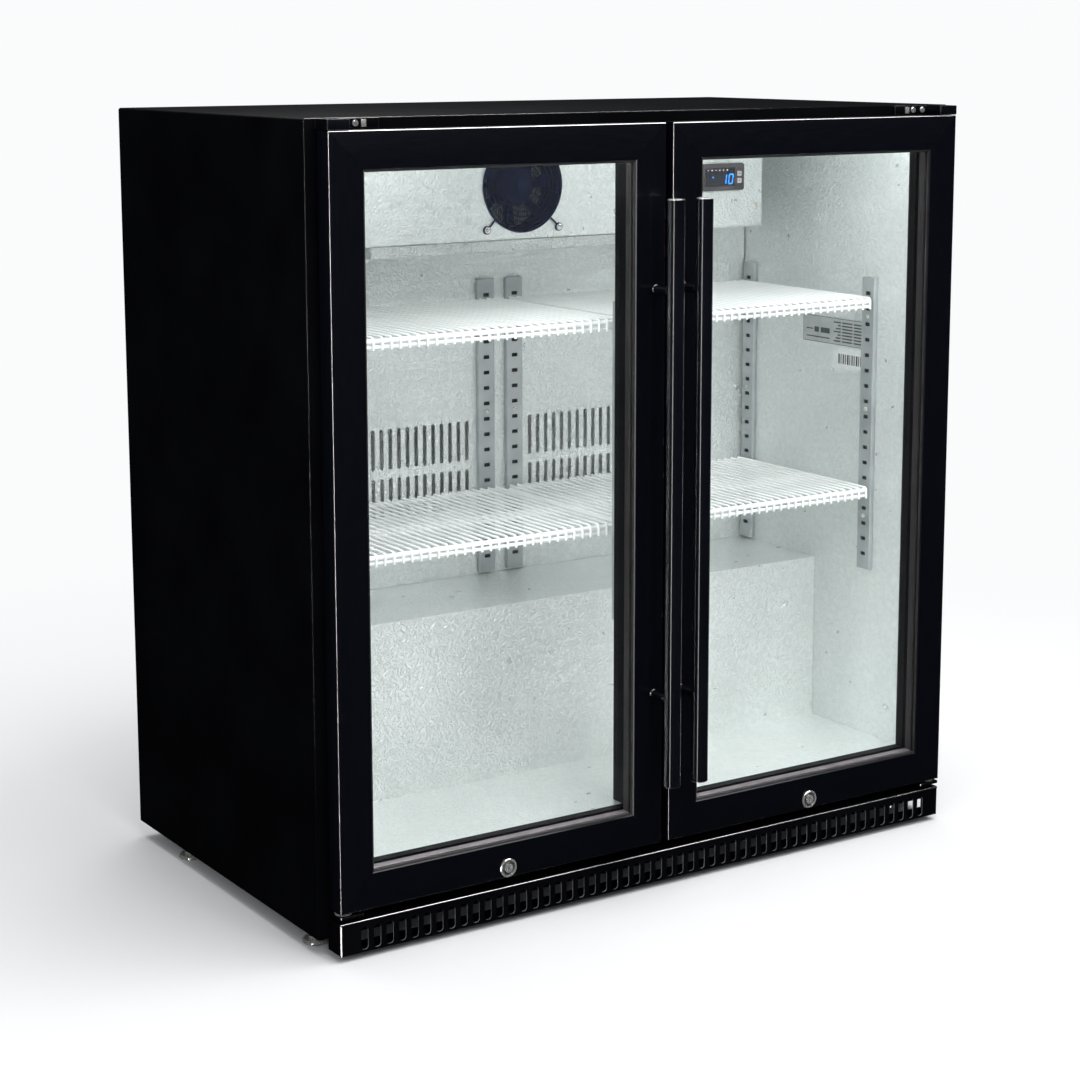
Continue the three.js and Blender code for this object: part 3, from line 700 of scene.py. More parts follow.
def row_tree():
    """Copies of the source along a line."""
    g = Grower("row_of_copies", Count=10, Step=(0.01, 0.0, 0.0))
    line = g.node(
        "GeometryNodeMeshLine", {"Count": g.given["Count"], "Offset": g.given["Step"]}, mode="OFFSET"
    )[0]
    return g.ends(g.copies(line, g.given["Geometry"]))


def around_tree():
    """Copies of the source turned about the Y axis."""
    g = Grower("copies_around_y", Count=7)
    line = g.node(
        "GeometryNodeMeshLine", {"Count": g.given["Count"], "Offset": (0.0, 0.0, 0.0)}, mode="OFFSET"
    )[0]
    step = g.math(2 * math.pi, "DIVIDE", g.given["Count"])
    turn = g.vector(0.0, g.math(g.node("GeometryNodeInputIndex")[0], "MULTIPLY", step), 0.0)
    return g.ends(g.copies(line, g.given["Geometry"], Rotation=turn))


def rings_tree():
    """Concentric wire rings in XY about the origin."""
    g = Grower("wire_rings", Count=9, First=0.009, Gap=0.006, Radius=0.0009, Steps=48)
    line = g.node(
        "GeometryNodeMeshLine", {"Count": g.given["Count"], "Offset": (0.0, 0.0, 0.0)}, mode="OFFSET"
    )[0]
    index = g.node("GeometryNodeInputIndex")[0]
    size = g.math(g.math(index, "MULTIPLY", g.given["Gap"]), "ADD", g.given["First"])
    ring = g.node("GeometryNodeCurvePrimitiveCircle", {"Resolution": g.given["Steps"], "Radius": 1.0})[0]
    rings = g.copies(line, ring, Scale=g.vector(size, size, size))
    real = g.node("GeometryNodeRealizeInstances", {"Geometry": rings})[0]
    return g.ends(g.wire(real, g.given["Radius"], 6))


def studs_tree():
    """The source's own points each get a copy of the head object, turned to the way the point faces."""
    g = Grower("screw_heads", Size=1.0)
    g.tree.interface.new_socket("Head", in_out="INPUT", socket_type="NodeSocketObject")
    shape = g.node("GeometryNodeObjectInfo", {"Object": g.given["Head"]})["Geometry"]
    facing = g.node("GeometryNodeInputNamedAttribute", {"Name": "facing"}, data_type="FLOAT_VECTOR")[0]
    turn = g.node("FunctionNodeAlignRotationToVector", {"Vector": facing}, axis="Z")[0]
    size = g.vector(g.given["Size"], g.given["Size"], g.given["Size"])
    return g.ends(g.copies(g.given["Geometry"], shape, Rotation=turn, Scale=size))


SLOTTED = slotted_sheet_tree()
WIRE_ROW = wire_row_tree()
ROW = row_tree()
AROUND = around_tree()
RINGS = rings_tree()
STUDS = studs_tree()


def screw_head():
    """A pan head with a cross recess, radius 3 mm, facing +Z, sunk 0.1 mm into what it holds."""
    r, h = 3 * MM, 1.7 * MM
    bm = turned(
        "Z", (0, 0),
        [(0, -0.1 * MM), (r, -0.1 * MM), (r, 0.5 * h), (0.86 * r, 0.82 * h), (0.55 * r, h), (0, h)], 16
    )
    centre = [f for f in bm.faces if all(v.co.z > 0.99 * h for v in f.verts)]
    bmesh.ops.delete(bm, geom=centre, context="FACES")
    arm, wide = 0.42 * r, 0.11 * r
    turns = [i * math.pi / 2 for i in range(4)]
    cross = []
    for t in turns:
        c, s = math.cos(t), math.sin(t)
        cross += [(c * a - s * b, s * a + c * b) for a, b in ((arm, -wide), (arm, wide), (wide, wide))]
    edges = [e for e in bm.edges if e.is_boundary]
    top = [bm.verts.new((a, b, h)) for a, b in cross]
    edges += [bm.edges.new((top[i - 1], top[i])) for i in range(len(top))]
    bmesh.ops.triangle_fill(bm, use_beauty=True, use_dissolve=False, edges=edges, normal=(0, 0, 1))
    low = [bm.verts.new((a, b, 0.35 * h)) for a, b in cross]
    for i in range(len(top)):
        bm.faces.new((top[i - 1], top[i], low[i], low[i - 1]))
    bm.faces.new(low)
    loose = [v for v in bm.verts if not v.link_faces]
    bmesh.ops.delete(bm, geom=loose, context="VERTS")
    return mesh_of(closed(bm))


HEAD = bpy.data.objects.new("screw_head_pattern", screw_head())


def screws(places, finish, size=1.0):
    """places is [(point, facing)]."""
    mesh = points_mesh([p for p, _ in places])
    facing = mesh.attributes.new("facing", "FLOAT_VECTOR", "POINT")
    for i, (_, direction) in enumerate(places):
        facing.data[i].vector = direction
    return grown(STUDS, mesh, finish, Head=HEAD, Size=size)


# ---------------------------------------------------------------- cabinet
def outer_case():
    """One sheet wrapped over the sides and top, with rounded bends and a rolled front edge."""
    lo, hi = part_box("outer_case")
    skin, bend = 1 * MM, 3 * MM
    outline = [(lo.x, lo.z)]
    outline += arc((lo.x + bend, hi.z - bend), bend, 180, 90, 5)
    outline += arc((hi.x - bend, hi.z - bend), bend, 90, 0, 5)
    outline += [(hi.x, lo.z), (hi.x - skin, lo.z)]
    outline += arc((hi.x - bend, hi.z - bend), bend - skin, 0, 90, 5)
    outline += arc((lo.x + bend, hi.z - bend), bend - skin, 90, 180, 5)
    outline += [(lo.x + skin, lo.z)]
    wrap = plate(outline, [], "Y", (lo.y, hi.y))
    front = [e for e in wrap.edges if all(abs(v.co.y - lo.y) < 1e-6 for v in e.verts)]
    bmesh.ops.bevel(
        wrap, geom=front, offset=0.4 * MM, segments=3, profile=0.5, affect="EDGES", clamp_overlap=True
    )
    case = Piece("case_wrap", "cabinet", "black_case", ("outer_case",))
    # the bevelled front edge faces take bright metal: a painted highlight line along the case front
    case.add(wrap, COAT, other=(HIGHLIGHT_EDGE, lambda centre, normal: -0.9 < normal.y < -0.2)).done()


def kick_grille():
    """Folded channel with a row of upright slots, and a slot over each lock for its cam."""
    lo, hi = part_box("kick_grille")
    skin, bend = 1.2 * MM, 2 * MM
    tall = hi.z - bend - lo.z
    middle = lo.z + tall / 2
    slot_middle = (11 + 36.5) / 2 * MM
    places = [((i - (KICK_SLOTS - 1) / 2) * KICK_PITCH, slot_middle - middle, 0) for i in range(KICK_SLOTS)]
    sizes = {"Width": hi.x - lo.x - 2.4 * MM, "Height": tall, "Thickness": skin}
    sizes.update({"SlotWidth": 9 * MM, "SlotHeight": 25.5 * MM, "Corner": 3.6 * MM})
    sheet = grown(SLOTTED, points_mesh(places), COAT, **sizes)
    grille = Piece("kick_grille_channel", "cabinet", "black_case", ("kick_grille",))
    # the slot walls take the lighter grey: painted highlight outlines round each slot
    walls = (SLOT_WALL_HIGHLIGHT, lambda centre, normal: abs(normal.y) < 0.5 and abs(centre.x) < hi.x - 2 * MM)
    grille.add(sheet, COAT, Matrix.Translation((0, lo.y + skin, middle)) @ FRONT, walls)
    centre = (lo.y + bend, hi.z - bend)
    fold = arc(centre, bend, 180, 90, 5) + arc(centre, bend - skin, 90, 180, 5)
    # the front of the top bend takes bright metal: a painted highlight line
    grille.add(
        plate(fold, [], "X", (lo.x, hi.x)), COAT,
        other=(HIGHLIGHT_EDGE, lambda centre, normal: normal.z > 0.25 and normal.y < -0.2)
    )
    cams = []
    for side, sign in SIDES:
        cam_lo, cam_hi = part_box(f"{side}_door_lock_sleeve")
        x = (cam_lo.x + cam_hi.x) / 2
        cams.append(
            rounded((x + sign * 8 * MM, x - sign * 24 * MM), (FACE_Y - 6.5 * MM, FACE_Y - 1 * MM), 2 * MM)
        )
    flange = rounded((lo.x, hi.x), (lo.y + bend, hi.y), 0.4 * MM, 1)
    grille.add(plate(flange, cams, "Z", (hi.z - skin, hi.z)), COAT)
    grille.add(block((lo.x, lo.y + skin + 0.05 * MM, lo.z), (hi.x, hi.y, lo.z + skin)), COAT)
    for x in (lo.x, hi.x - skin):
        grille.add(block((x, lo.y + skin + 0.05 * MM, lo.z), (x + skin, hi.y, hi.z - skin - 0.05 * MM)), COAT)
    for sign in (-1, 1):
        edge = hi.x if sign > 0 else lo.x
        far = edge - sign * 1.15 * MM
        corner = [(edge, lo.y + 1.15 * MM), (far, lo.y), (far, lo.y + 1.15 * MM)]
        # the corner strips at each end are all bright metal: painted highlight lines
        grille.add(plate(corner[::sign], [], "Z", (lo.z, hi.z - bend)), HIGHLIGHT_EDGE)
    grille.done()


def feet():
    for end in ("front", "rear"):
        for side, _ in SIDES:
            node = f"foot_{end}_{side}"
            lo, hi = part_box(node)
            x, y = (lo.x + hi.x) / 2, (lo.y + hi.y) / 2
            r = (hi.x - lo.x) / 2
            pad = [(0, lo.z), (r - 1.5 * MM, lo.z), (r, lo.z + 1.2 * MM), (r, lo.z + 3.6 * MM)]
            pad += [(r - 1.2 * MM, lo.z + 5 * MM), (0.66 * r, lo.z + 5.4 * MM), (0, lo.z + 5.4 * MM)]
            stem = [(0, lo.z + 8.6 * MM)]
            for i in range(7):
                z = lo.z + (8.6 + 1.55 * i) * MM
                stem += [(4.3 * MM, z), (5 * MM, z + 0.78 * MM)]
            stem += [(4.3 * MM, hi.z), (0, hi.z)]
            foot = Piece(f"levelling_{node}", "cabinet", "chrome", (node,))
            foot.add(turned("Z", (x, y), pad, 32), ZINC)
            foot.add(turned("Z", (x, y), stem, 24), ZINC)
            nut = [(0, lo.z + 5.5 * MM), (8 * MM, lo.z + 5.5 * MM), (8.6 * MM, lo.z + 6 * MM)]
            nut += [(8.6 * MM, lo.z + 8 * MM), (8 * MM, lo.z + 8.5 * MM), (0, lo.z + 8.5 * MM)]
            foot.add(turned("Z", (x, y), nut, 6), ZINC)
            foot.done()


def rear_covers():
    """Louvred machine room cover, with screws round it and the rear panel."""
    lo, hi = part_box("machine_room_cover")
    gland_lo, gland_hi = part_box("cable_gland")
    gland = ((gland_lo.x + gland_hi.x) / 2, (gland_lo.z + gland_hi.z) / 2)
    holes = []
    for column in range(20):
        x = (-370 + 36 * column) * MM
        for z in (119 * MM, 189 * MM):
            holes.append(rounded((x - 5 * MM, x + 5 * MM), (z - 31 * MM, z + 31 * MM), 4.9 * MM, 4))
    holes.append([(gland[0] + a, gland[1] + b) for a, b in arc((0, 0), 7.3 * MM, 0, 345, 23)])
    outline = rounded((lo.x, hi.x), (lo.z, hi.z), 1 * MM, 2)
    sheet = plate(outline, holes, "Y", (lo.y, hi.y))
    Piece(
        "machine_room_louvres", "cabinet", "galvanised", ("machine_room_cover",)
    ).add(sheet, GALVANISED).done()
    rear_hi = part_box("rear_panel")[1]
    inset = 9 * MM
    heads = []
    for z in (lo.z + inset, hi.z - inset):
        heads += [((x * MM, hi.y, z), (0, 1, 0)) for x in (-435, -290, -145, 0, 145, 290, 435)]
    heads += [((x * MM, rear_hi.y, rear_hi.z - inset), (0, 1, 0)) for x in (-435, -218, 0, 218, 435)]
    for x in (-0.435, 0.435):
        heads += [((x, rear_hi.y, z * MM), (0, 1, 0)) for z in (300, 450, 600, 750)]
    Piece("rear_screws", "cabinet", "galvanised").add(screws(heads, ZINC, 1.2), ZINC).done()


def cable_gland():
    lo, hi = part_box("cable_gland")
    x, z = (lo.x + hi.x) / 2, (lo.z + hi.z) / 2
    y, r = lo.y, (hi.x - lo.x) / 2
    out = FACE_Y + 484 * MM
    profile = [
        (3.5 * MM, y), (7 * MM, y), (7 * MM, out + 0.3 * MM), (r - 0.6 * MM, out + 0.3 * MM),
        (r, out + 0.9 * MM)
    ]
    profile += [(r, out + 3.4 * MM), (r - 1 * MM, out + 4 * MM)]
    for i in range(4):
        step = out + (4.2 + 1.6 * i) * MM
        wide = (7.6 - 0.45 * i) * MM
        profile += [
            (wide, step), (wide, step + 0.8 * MM), (wide - 1.3 * MM, step + 1.0 * MM),
            (wide - 1.3 * MM, step + 1.5 * MM)
        ]
    profile += [(4.4 * MM, hi.y), (3.5 * MM, hi.y)]
    gland = turned("Y", (x, z), profile, 32, ring=True)
    Piece("cable_gland_boot", "cabinet", "rubber", ("cable_gland",)).add(gland, RUBBER).done()


# ---------------------------------------------------------------- inside
def strip_shape(width, depth, height, columns, slots=18, pitch=20 * MM):
    """A slotted channel standing on Z = 0. Its slots face -Y at Y = 0 and its flanges run back to depth."""
    skin, bend = 1.2 * MM, 1.8 * MM
    flat = width - 2 * bend
    places = [(c, (i + 1) * pitch - height / 2, 0) for c in columns for i in range(slots)]
    sizes = {"Width": flat, "Height": height, "Thickness": skin, "SlotWidth": 9 * MM, "SlotHeight": 5 * MM}
    sheet = grown(SLOTTED, points_mesh(places), STRIP, Corner=1.2 * MM, **sizes)
    sheet.transform(Matrix.Translation((0, skin, height / 2)) @ FRONT)
    shapes = [sheet]
    for sign in (-1, 1):
        edge = sign * width / 2
        centre = (edge - sign * bend, bend)
        turn = (180, 270) if sign < 0 else (0, -90)
        outer = arc(centre, bend, *turn, 4)
        inner = arc(centre, bend - skin, turn[1], turn[0], 4)
        shapes.append(plate(outer + inner, [], "Z", (0, height)))
        shapes.append(block((edge, bend, 0), (edge - sign * skin, depth, height)))
    return shapes


def strip_shadow(width, depth, height):
    """A dark sheet inside a strip, painted shadow seen through its slots."""
    return block(
        (-width / 2 + 2 * MM, depth - 1.5 * MM, 2 * MM),
        (width / 2 - 2 * MM, depth - 0.5 * MM, height - 2 * MM)
    )


def shelf_strips():
    for side, sign in SIDES:
        for end in ("front", "rear"):
            node = f"shelf_strip_{side}_{end}"
            lo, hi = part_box(node)
            turn = Matrix.Rotation(math.radians(-90 if sign > 0 else 90), 4, "Z")
            base = (lo.x if sign > 0 else hi.x, (lo.y + hi.y) / 2, lo.z)
            strip = Piece(f"support_strip_{side}_{end}", "cabinet", "galvanised", (node,))
            for shape in strip_shape(hi.y - lo.y, hi.x - lo.x, hi.z - lo.z, [0]):
                strip.add(shape, STRIP, Matrix.Translation(base) @ turn)
            strip.add(
                strip_shadow(hi.y - lo.y, hi.x - lo.x, hi.z - lo.z), RUBBER, Matrix.Translation(base) @ turn
            )
            heads = [((base[0], base[1], lo.z + k * MM), (-sign, 0, 0)) for k in (70, 210, 330)]
            strip.add(screws(heads, ZINC, 0.9), ZINC)
            strip.done()
        node = f"shelf_strip_centre_rear_{side}"
        lo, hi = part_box(node)
        base = ((lo.x + hi.x) / 2, lo.y, lo.z)
        strip = Piece(f"support_strip_centre_rear_{side}", "cabinet", "galvanised", (node,))
        for shape in strip_shape(hi.x - lo.x, hi.y - lo.y, hi.z - lo.z, [0]):
            strip.add(shape, STRIP, Matrix.Translation(base))
        strip.add(strip_shadow(hi.x - lo.x, hi.y - lo.y, hi.z - lo.z), RUBBER, Matrix.Translation(base))
        heads = [((base[0], base[1], lo.z + k * MM), (0, -1, 0)) for k in (30, 210)]
        strip.add(screws(heads, ZINC, 0.9), ZINC)
        strip.done()
    node = "shelf_strip_centre_front"
    lo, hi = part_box(node)
    strip = Piece("support_strip_centre_front", "cabinet", "galvanised", (node,))
    turn = Matrix.Translation(((lo.x + hi.x) / 2, hi.y, lo.z)) @ Matrix.Rotation(math.pi, 4, "Z")
    for shape in strip_shape(hi.x - lo.x, hi.y - lo.y, hi.z - lo.z, [-STRIP_PAIR, STRIP_PAIR]):
        strip.add(shape, STRIP, turn)
    strip.add(strip_shadow(hi.x - lo.x, hi.y - lo.y, hi.z - lo.z), RUBBER, turn)
    strip.done()


def wire_shelf(level, side):
    node = f"{level}_shelf_{side}"
    lo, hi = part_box(node)
    rim_r, wire_r, lip_r = 2.8 * MM, 1.6 * MM, 2.2 * MM
    top = hi.z  # highest point of the wires
    wire_z = top - wire_r
    rim_z = wire_z - wire_r - rim_r + 0.4 * MM
    x0, x1, y0, y1 = lo.x + rim_r, hi.x - rim_r, lo.y + 4.5 * MM, hi.y - rim_r
    shelf = Piece(f"wire_shelf_{level}_{side}", f"{level}_{side}_shelf", "white_wire", (node,))
    rim = [(x, y, rim_z) for x, y in rounded((x0, x1), (y0, y1), 9 * MM, 5)]
    shelf.add(swept(rim, rim_r, 12, loop=True), WHITE_WIRE)
    for share in (0.40, 0.48):
        y = y0 + share * (y1 - y0)
        shelf.add(swept([(x0, y, rim_z), (x1, y, rim_z)], lip_r, 10), WHITE_WIRE)
    gap = (x1 - x0 - 8 * MM) / (WIRES - 1)
    first_x, bend_y = x0 + 4 * MM, lo.y + wire_r
    path = [(first_x, y1 + 1 * MM, wire_z), (first_x, bend_y, wire_z), (first_x, bend_y, lo.z + 0.6 * MM)]
    wires = grown(
        WIRE_ROW, path_mesh(path), WHITE_WIRE, Count=WIRES, Step=(gap, 0.0, 0.0), Radius=wire_r, Bend=4 * MM
    )
    shelf.add(wires, WHITE_WIRE)
    lip_y, lip_z = lo.y + 2 * wire_r + lip_r - 0.3 * MM, lo.z + lip_r + 1.4 * MM
    shelf.add(swept([(x0 + 1 * MM, lip_y, lip_z), (x1 - 1 * MM, lip_y, lip_z)], lip_r, 10), WHITE_WIRE)
    shelf.done(50)


def clip_tongue(reach):
    """Outline of a bent tongue that reaches out of its strip by -reach."""
    thick, bent, drop = 1.2 * MM, 1.4 * MM, 6.5 * MM
    return [(0, 0), (-reach, 0), (-reach, thick), (-bent, thick), (-bent, drop), (0, drop)]


def shelf_clips():
    """A bent steel tongue in the strips under each corner of each shelf."""
    for side, sign in SIDES:
        clips = Piece(f"shelf_clips_{side}", "cabinet", "galvanised")
        for level in ("lower", "upper"):
            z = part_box(f"{level}_shelf_{side}")[1].z - CLIP_DROP
            for end in ("front", "rear"):
                lo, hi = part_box(f"shelf_strip_{side}_{end}")
                y = (lo.y + hi.y) / 2
                x = lo.x if sign > 0 else hi.x
                shape = [(x + sign * a, z - 1.3 * MM - b) for a, b in clip_tongue(12 * MM)]
                clips.add(plate(shape, [], "Y", (y - 4 * MM, y + 4 * MM), 0.2 * MM), ZINC)
            rear_lo, rear_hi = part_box(f"shelf_strip_centre_rear_{side}")
            x = (rear_lo.x + rear_hi.x) / 2
            y = rear_lo.y
            shape = [(y + a, z - 1.3 * MM - b) for a, b in clip_tongue(10 * MM)]
            clips.add(plate(shape, [], "X", (x - 4 * MM, x + 4 * MM), 0.2 * MM), ZINC)
        clips.done()


def duct_panel():
    """Embossed panel behind the shelves, with two rows of air slots each side of the middle strips."""
    lo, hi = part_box("rear_duct_panel")
    holes = []
    for sign in (-1, 1):
        for i in range(24):
            x = sign * (48 + i * 12.5) * MM
            for row in (404, 467):
                holes.append(rounded((x - 2.8 * MM, x + 2.8 * MM), (row * MM, (row + 52) * MM), 2.7 * MM, 3))
    coil_lo, coil_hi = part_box("evaporator_coil")
    holes.append(
        rounded(
            (coil_lo.x + 12 * MM, coil_hi.x - 12 * MM), (coil_lo.z + 6 * MM, coil_hi.z - 12 * MM), 4 * MM, 3
        )
    )
    outline = rounded((lo.x + 1.4 * MM, hi.x - 1.4 * MM), (lo.z, hi.z), 0.5 * MM, 1)
    panel = Piece("duct_panel_embossed", "cabinet", "embossed_liner", ("rear_duct_panel",))
    panel.add(plate(outline, holes, "Y", (lo.y, hi.y)), STUCCO)
    heads = [((sign * 388 * MM, lo.y, 527 * MM), (0, -1, 0)) for sign in (-1, 1)]
    panel.add(screws(heads, CHROME, 1.5), CHROME)
    panel.done()


def evaporator_cover():
    """Folded cover with a round fan opening and the controller's cut-out, held by screws."""
    lo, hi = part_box("evaporator_cover")
    skin, bend = 1.2 * MM, 3 * MM
    blades_lo, blades_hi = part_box("evaporator_fan_blades")
    fan = ((blades_lo.x + blades_hi.x) / 2, (blades_lo.z + blades_hi.z) / 2)
    panel_lo, panel_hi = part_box("controller")
    round_hole = [(fan[0] + a, fan[1] + b) for a, b in arc((0, 0), 57.5 * MM, 0, 352.5, 47)]
    panel = rounded(
        (panel_lo.x + 3.5 * MM, panel_hi.x - 3.5 * MM), (panel_lo.z + 3 * MM, panel_hi.z - 3 * MM), 1 * MM, 2
    )
    front = rounded((lo.x + bend, hi.x - bend), (lo.z + bend, hi.z), 0.2 * MM, 1)
    cover = Piece("fan_cover_embossed", "cabinet", "embossed_liner", ("evaporator_cover",))
    cover.add(plate(front, [round_hole, panel], "Y", (lo.y, lo.y + skin)), STUCCO)
    for sign, x in ((-1, lo.x), (1, hi.x)):
        centre = (x - sign * bend, lo.y + bend)
        turn = (180, 270) if sign < 0 else (0, -90)
        fold = arc(centre, bend, *turn, 5) + arc(centre, bend - skin, turn[1], turn[0], 5)
        cover.add(plate(fold, [], "Z", (lo.z + bend, hi.z)), STUCCO)
        cover.add(block((x, lo.y + bend, lo.z), (x - sign * skin, hi.y, hi.z)), STUCCO)
    centre = (lo.y + bend, lo.z + bend)
    fold = arc(centre, bend, 180, 270, 5) + arc(centre, bend - skin, 270, 180, 5)
    cover.add(plate(fold, [], "X", (lo.x + bend, hi.x - bend)), STUCCO)
    cover.add(block((lo.x + skin, lo.y + bend, lo.z), (hi.x - skin, hi.y, lo.z + skin)), STUCCO)
    for x in (lo.x, hi.x):
        corner = block(
            (x, lo.y + 0.9 * MM, lo.z + 0.9 * MM), (x + (bend if x < 0 else -bend), lo.y + bend, lo.z + bend),
            0.8 * MM, 3
        )
        cover.add(corner, STUCCO)
    heads = [
        ((x, lo.y, z), (0, -1, 0)) for x in (
            lo.x + 12 * MM, hi.x - 12 * MM
        ) for z in (lo.z + 27 * MM, hi.z - 14 * MM)
    ]
    cover.add(screws(heads, ZINC, 1.5), ZINC)
    cover.done()
    tray_lo, tray_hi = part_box("drip_tray")
    wall = 1.2 * MM
    tray = Piece("drip_tray_folded", "cabinet", "embossed_liner", ("drip_tray",))
    # darker liner copy for the tray: painted shade under the cover
    tray.add(block(tray_lo, (tray_hi.x, tray_hi.y, tray_lo.z + wall), 0.4 * MM), SHADED_TRAY)
    outer = rounded((tray_lo.x, tray_hi.x), (tray_lo.y, tray_hi.y), 5 * MM, 4)
    inner = rounded((tray_lo.x + wall, tray_hi.x - wall), (tray_lo.y + wall, tray_hi.y - wall), 4 * MM, 4)
    tray.add(plate(outer, [inner], "Z", (tray_lo.z + 0.6 * MM, tray_hi.z)), SHADED_TRAY)
    tray.done()


def evaporator_fan():
    lo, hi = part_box("evaporator_fan_blades")
    fan = Vector(((lo.x + hi.x) / 2, (lo.y + hi.y) / 2, (lo.z + hi.z) / 2))
    guard_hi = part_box("evaporator_fan_guard")[1]
    blades = Piece("fan_blades_curved", "evaporator_fan", "black_plastic", ("evaporator_fan_blades",))
    blades.add(
        grown(AROUND, blade(25 * MM, 50.5 * MM, 17 * MM, 34, 7), NAVY, Count=7), NAVY, Matrix.Translation(fan)
    )
    hub = [
        (0, -9.5 * MM), (14 * MM, -9.5 * MM), (22 * MM, -8 * MM), (26 * MM, -4 * MM), (26 * MM, 9 * MM),
        (24 * MM, 9.5 * MM), (0, 9.5 * MM)
    ]
    blades.add(turned("Y", (fan.x, fan.z), [(r, fan.y + a) for r, a in hub], 40), NAVY)
    blades.done()
    guard = Piece("fan_guard_rings", "cabinet", "black_plastic", ("evaporator_fan_guard",))
    rings = grown(
        RINGS, points_mesh([(0, 0, 0)]), NAVY, Count=9, First=8.5 * MM, Gap=5.9 * MM, Radius=0.75 * MM,
        Steps=56
    )
    front = guard_hi.y - 0.9 * MM
    guard.add(rings, NAVY, Matrix.Translation((fan.x, front, fan.z)) @ FRONT)
    rim = arc((56.6 * MM, front + 0.4 * MM), 1.1 * MM, 0, 315, 7)
    guard.add(turned("Y", (fan.x, fan.z), rim, 64, ring=True), NAVY)
    cap = [
        (0, front - 0.7 * MM), (7.5 * MM, front - 0.7 * MM), (8.8 * MM, front), (8.8 * MM, front + 1.2 * MM),
        (0, front + 1.2 * MM)
    ]
    guard.add(turned("Y", (fan.x, fan.z), cap, 32), NAVY)
    for i in range(16):
        t = 2 * math.pi * (i + 0.5) / 16
        c, s = math.cos(t), math.sin(t)
        ends = [(fan.x + r * c, front + 1.2 * MM, fan.z + r * s) for r in (8 * MM, 56 * MM)]
        guard.add(swept(ends, 0.55 * MM, 6), NAVY)
    feet_at = []
    cover_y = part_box("evaporator_cover")[0].y
    for i in range(4):
        t = math.pi * (0.5 * i + 0.25)
        c, s = math.cos(t), math.sin(t)
        leg = ((56 * MM, front + 1 * MM), (66 * MM, cover_y - 2.2 * MM), (70 * MM, cover_y - 1.2 * MM))
        ends = [(fan.x + r * c, y, fan.z + r * s) for r, y in leg]
        guard.add(swept(ends, 1.1 * MM, 8), NAVY)
        x, z = fan.x + 74.2 * MM * c, fan.z + 74.2 * MM * s
        eye = ((5.2 * MM, 0.9 * MM), (5.2 * MM, -0.9 * MM), (3.2 * MM, -0.9 * MM), (3.2 * MM, 0.9 * MM))
        loop = [(r, cover_y - 1.2 * MM + a) for r, a in eye]
        guard.add(turned("Y", (x, z), loop, 20, ring=True), NAVY)
        feet_at.append(((x, cover_y - 2.1 * MM, z), (0, -1, 0)))
    guard.add(screws(feet_at, CHROME, 1.35), CHROME)
    guard.done()


def blade(inner, outer, chord, pitch, skew):
    """One curved fan blade about the origin, reaching out along +X, turning about Y."""
    bm = bmesh.new()
    rows, columns = 5, 6
    grid = []
    for i in range(rows + 1):
        share = i / rows
        r = inner + (outer - inner) * share
        angle = math.radians(pitch - 10 * share)
        half = chord * (0.78 + 0.35 * share) / 2
        row = []
        for k in range(columns + 1):
            u = -1 + 2 * k / columns
            camber = 0.16 * half * (1 - u * u)
            across = half * u * math.cos(angle) - camber * math.sin(angle)
            deep = half * u * math.sin(angle) + camber * math.cos(angle)
            t = across / r + math.radians(skew) * share
            row.append((r * math.cos(t), deep, r * math.sin(t)))
        grid.append(row)
    thick = 0.6 * MM
    shells = [[[bm.verts.new((x, y + d, z)) for x, y, z in row] for row in grid] for d in (-thick, thick)]
    for shell in shells:
        for i in range(rows):
            for k in range(columns):
                bm.faces.new((shell[i][k], shell[i][k + 1], shell[i + 1][k + 1], shell[i + 1][k]))
    rim = [(i, 0) for i in range(rows)] + [(rows, k) for k in range(columns)]
    rim += [(i, columns) for i in range(rows, 0, -1)] + [(0, k) for k in range(columns, 0, -1)]
    for n in range(len(rim)):
        (a, b), (c, d) = rim[n - 1], rim[n]
        bm.faces.new((shells[0][a][b], shells[0][c][d], shells[1][c][d], shells[1][a][b]))
    return mesh_of(closed(bm))


SEGMENTS = {"0": "abcdef", "1": "bc"}


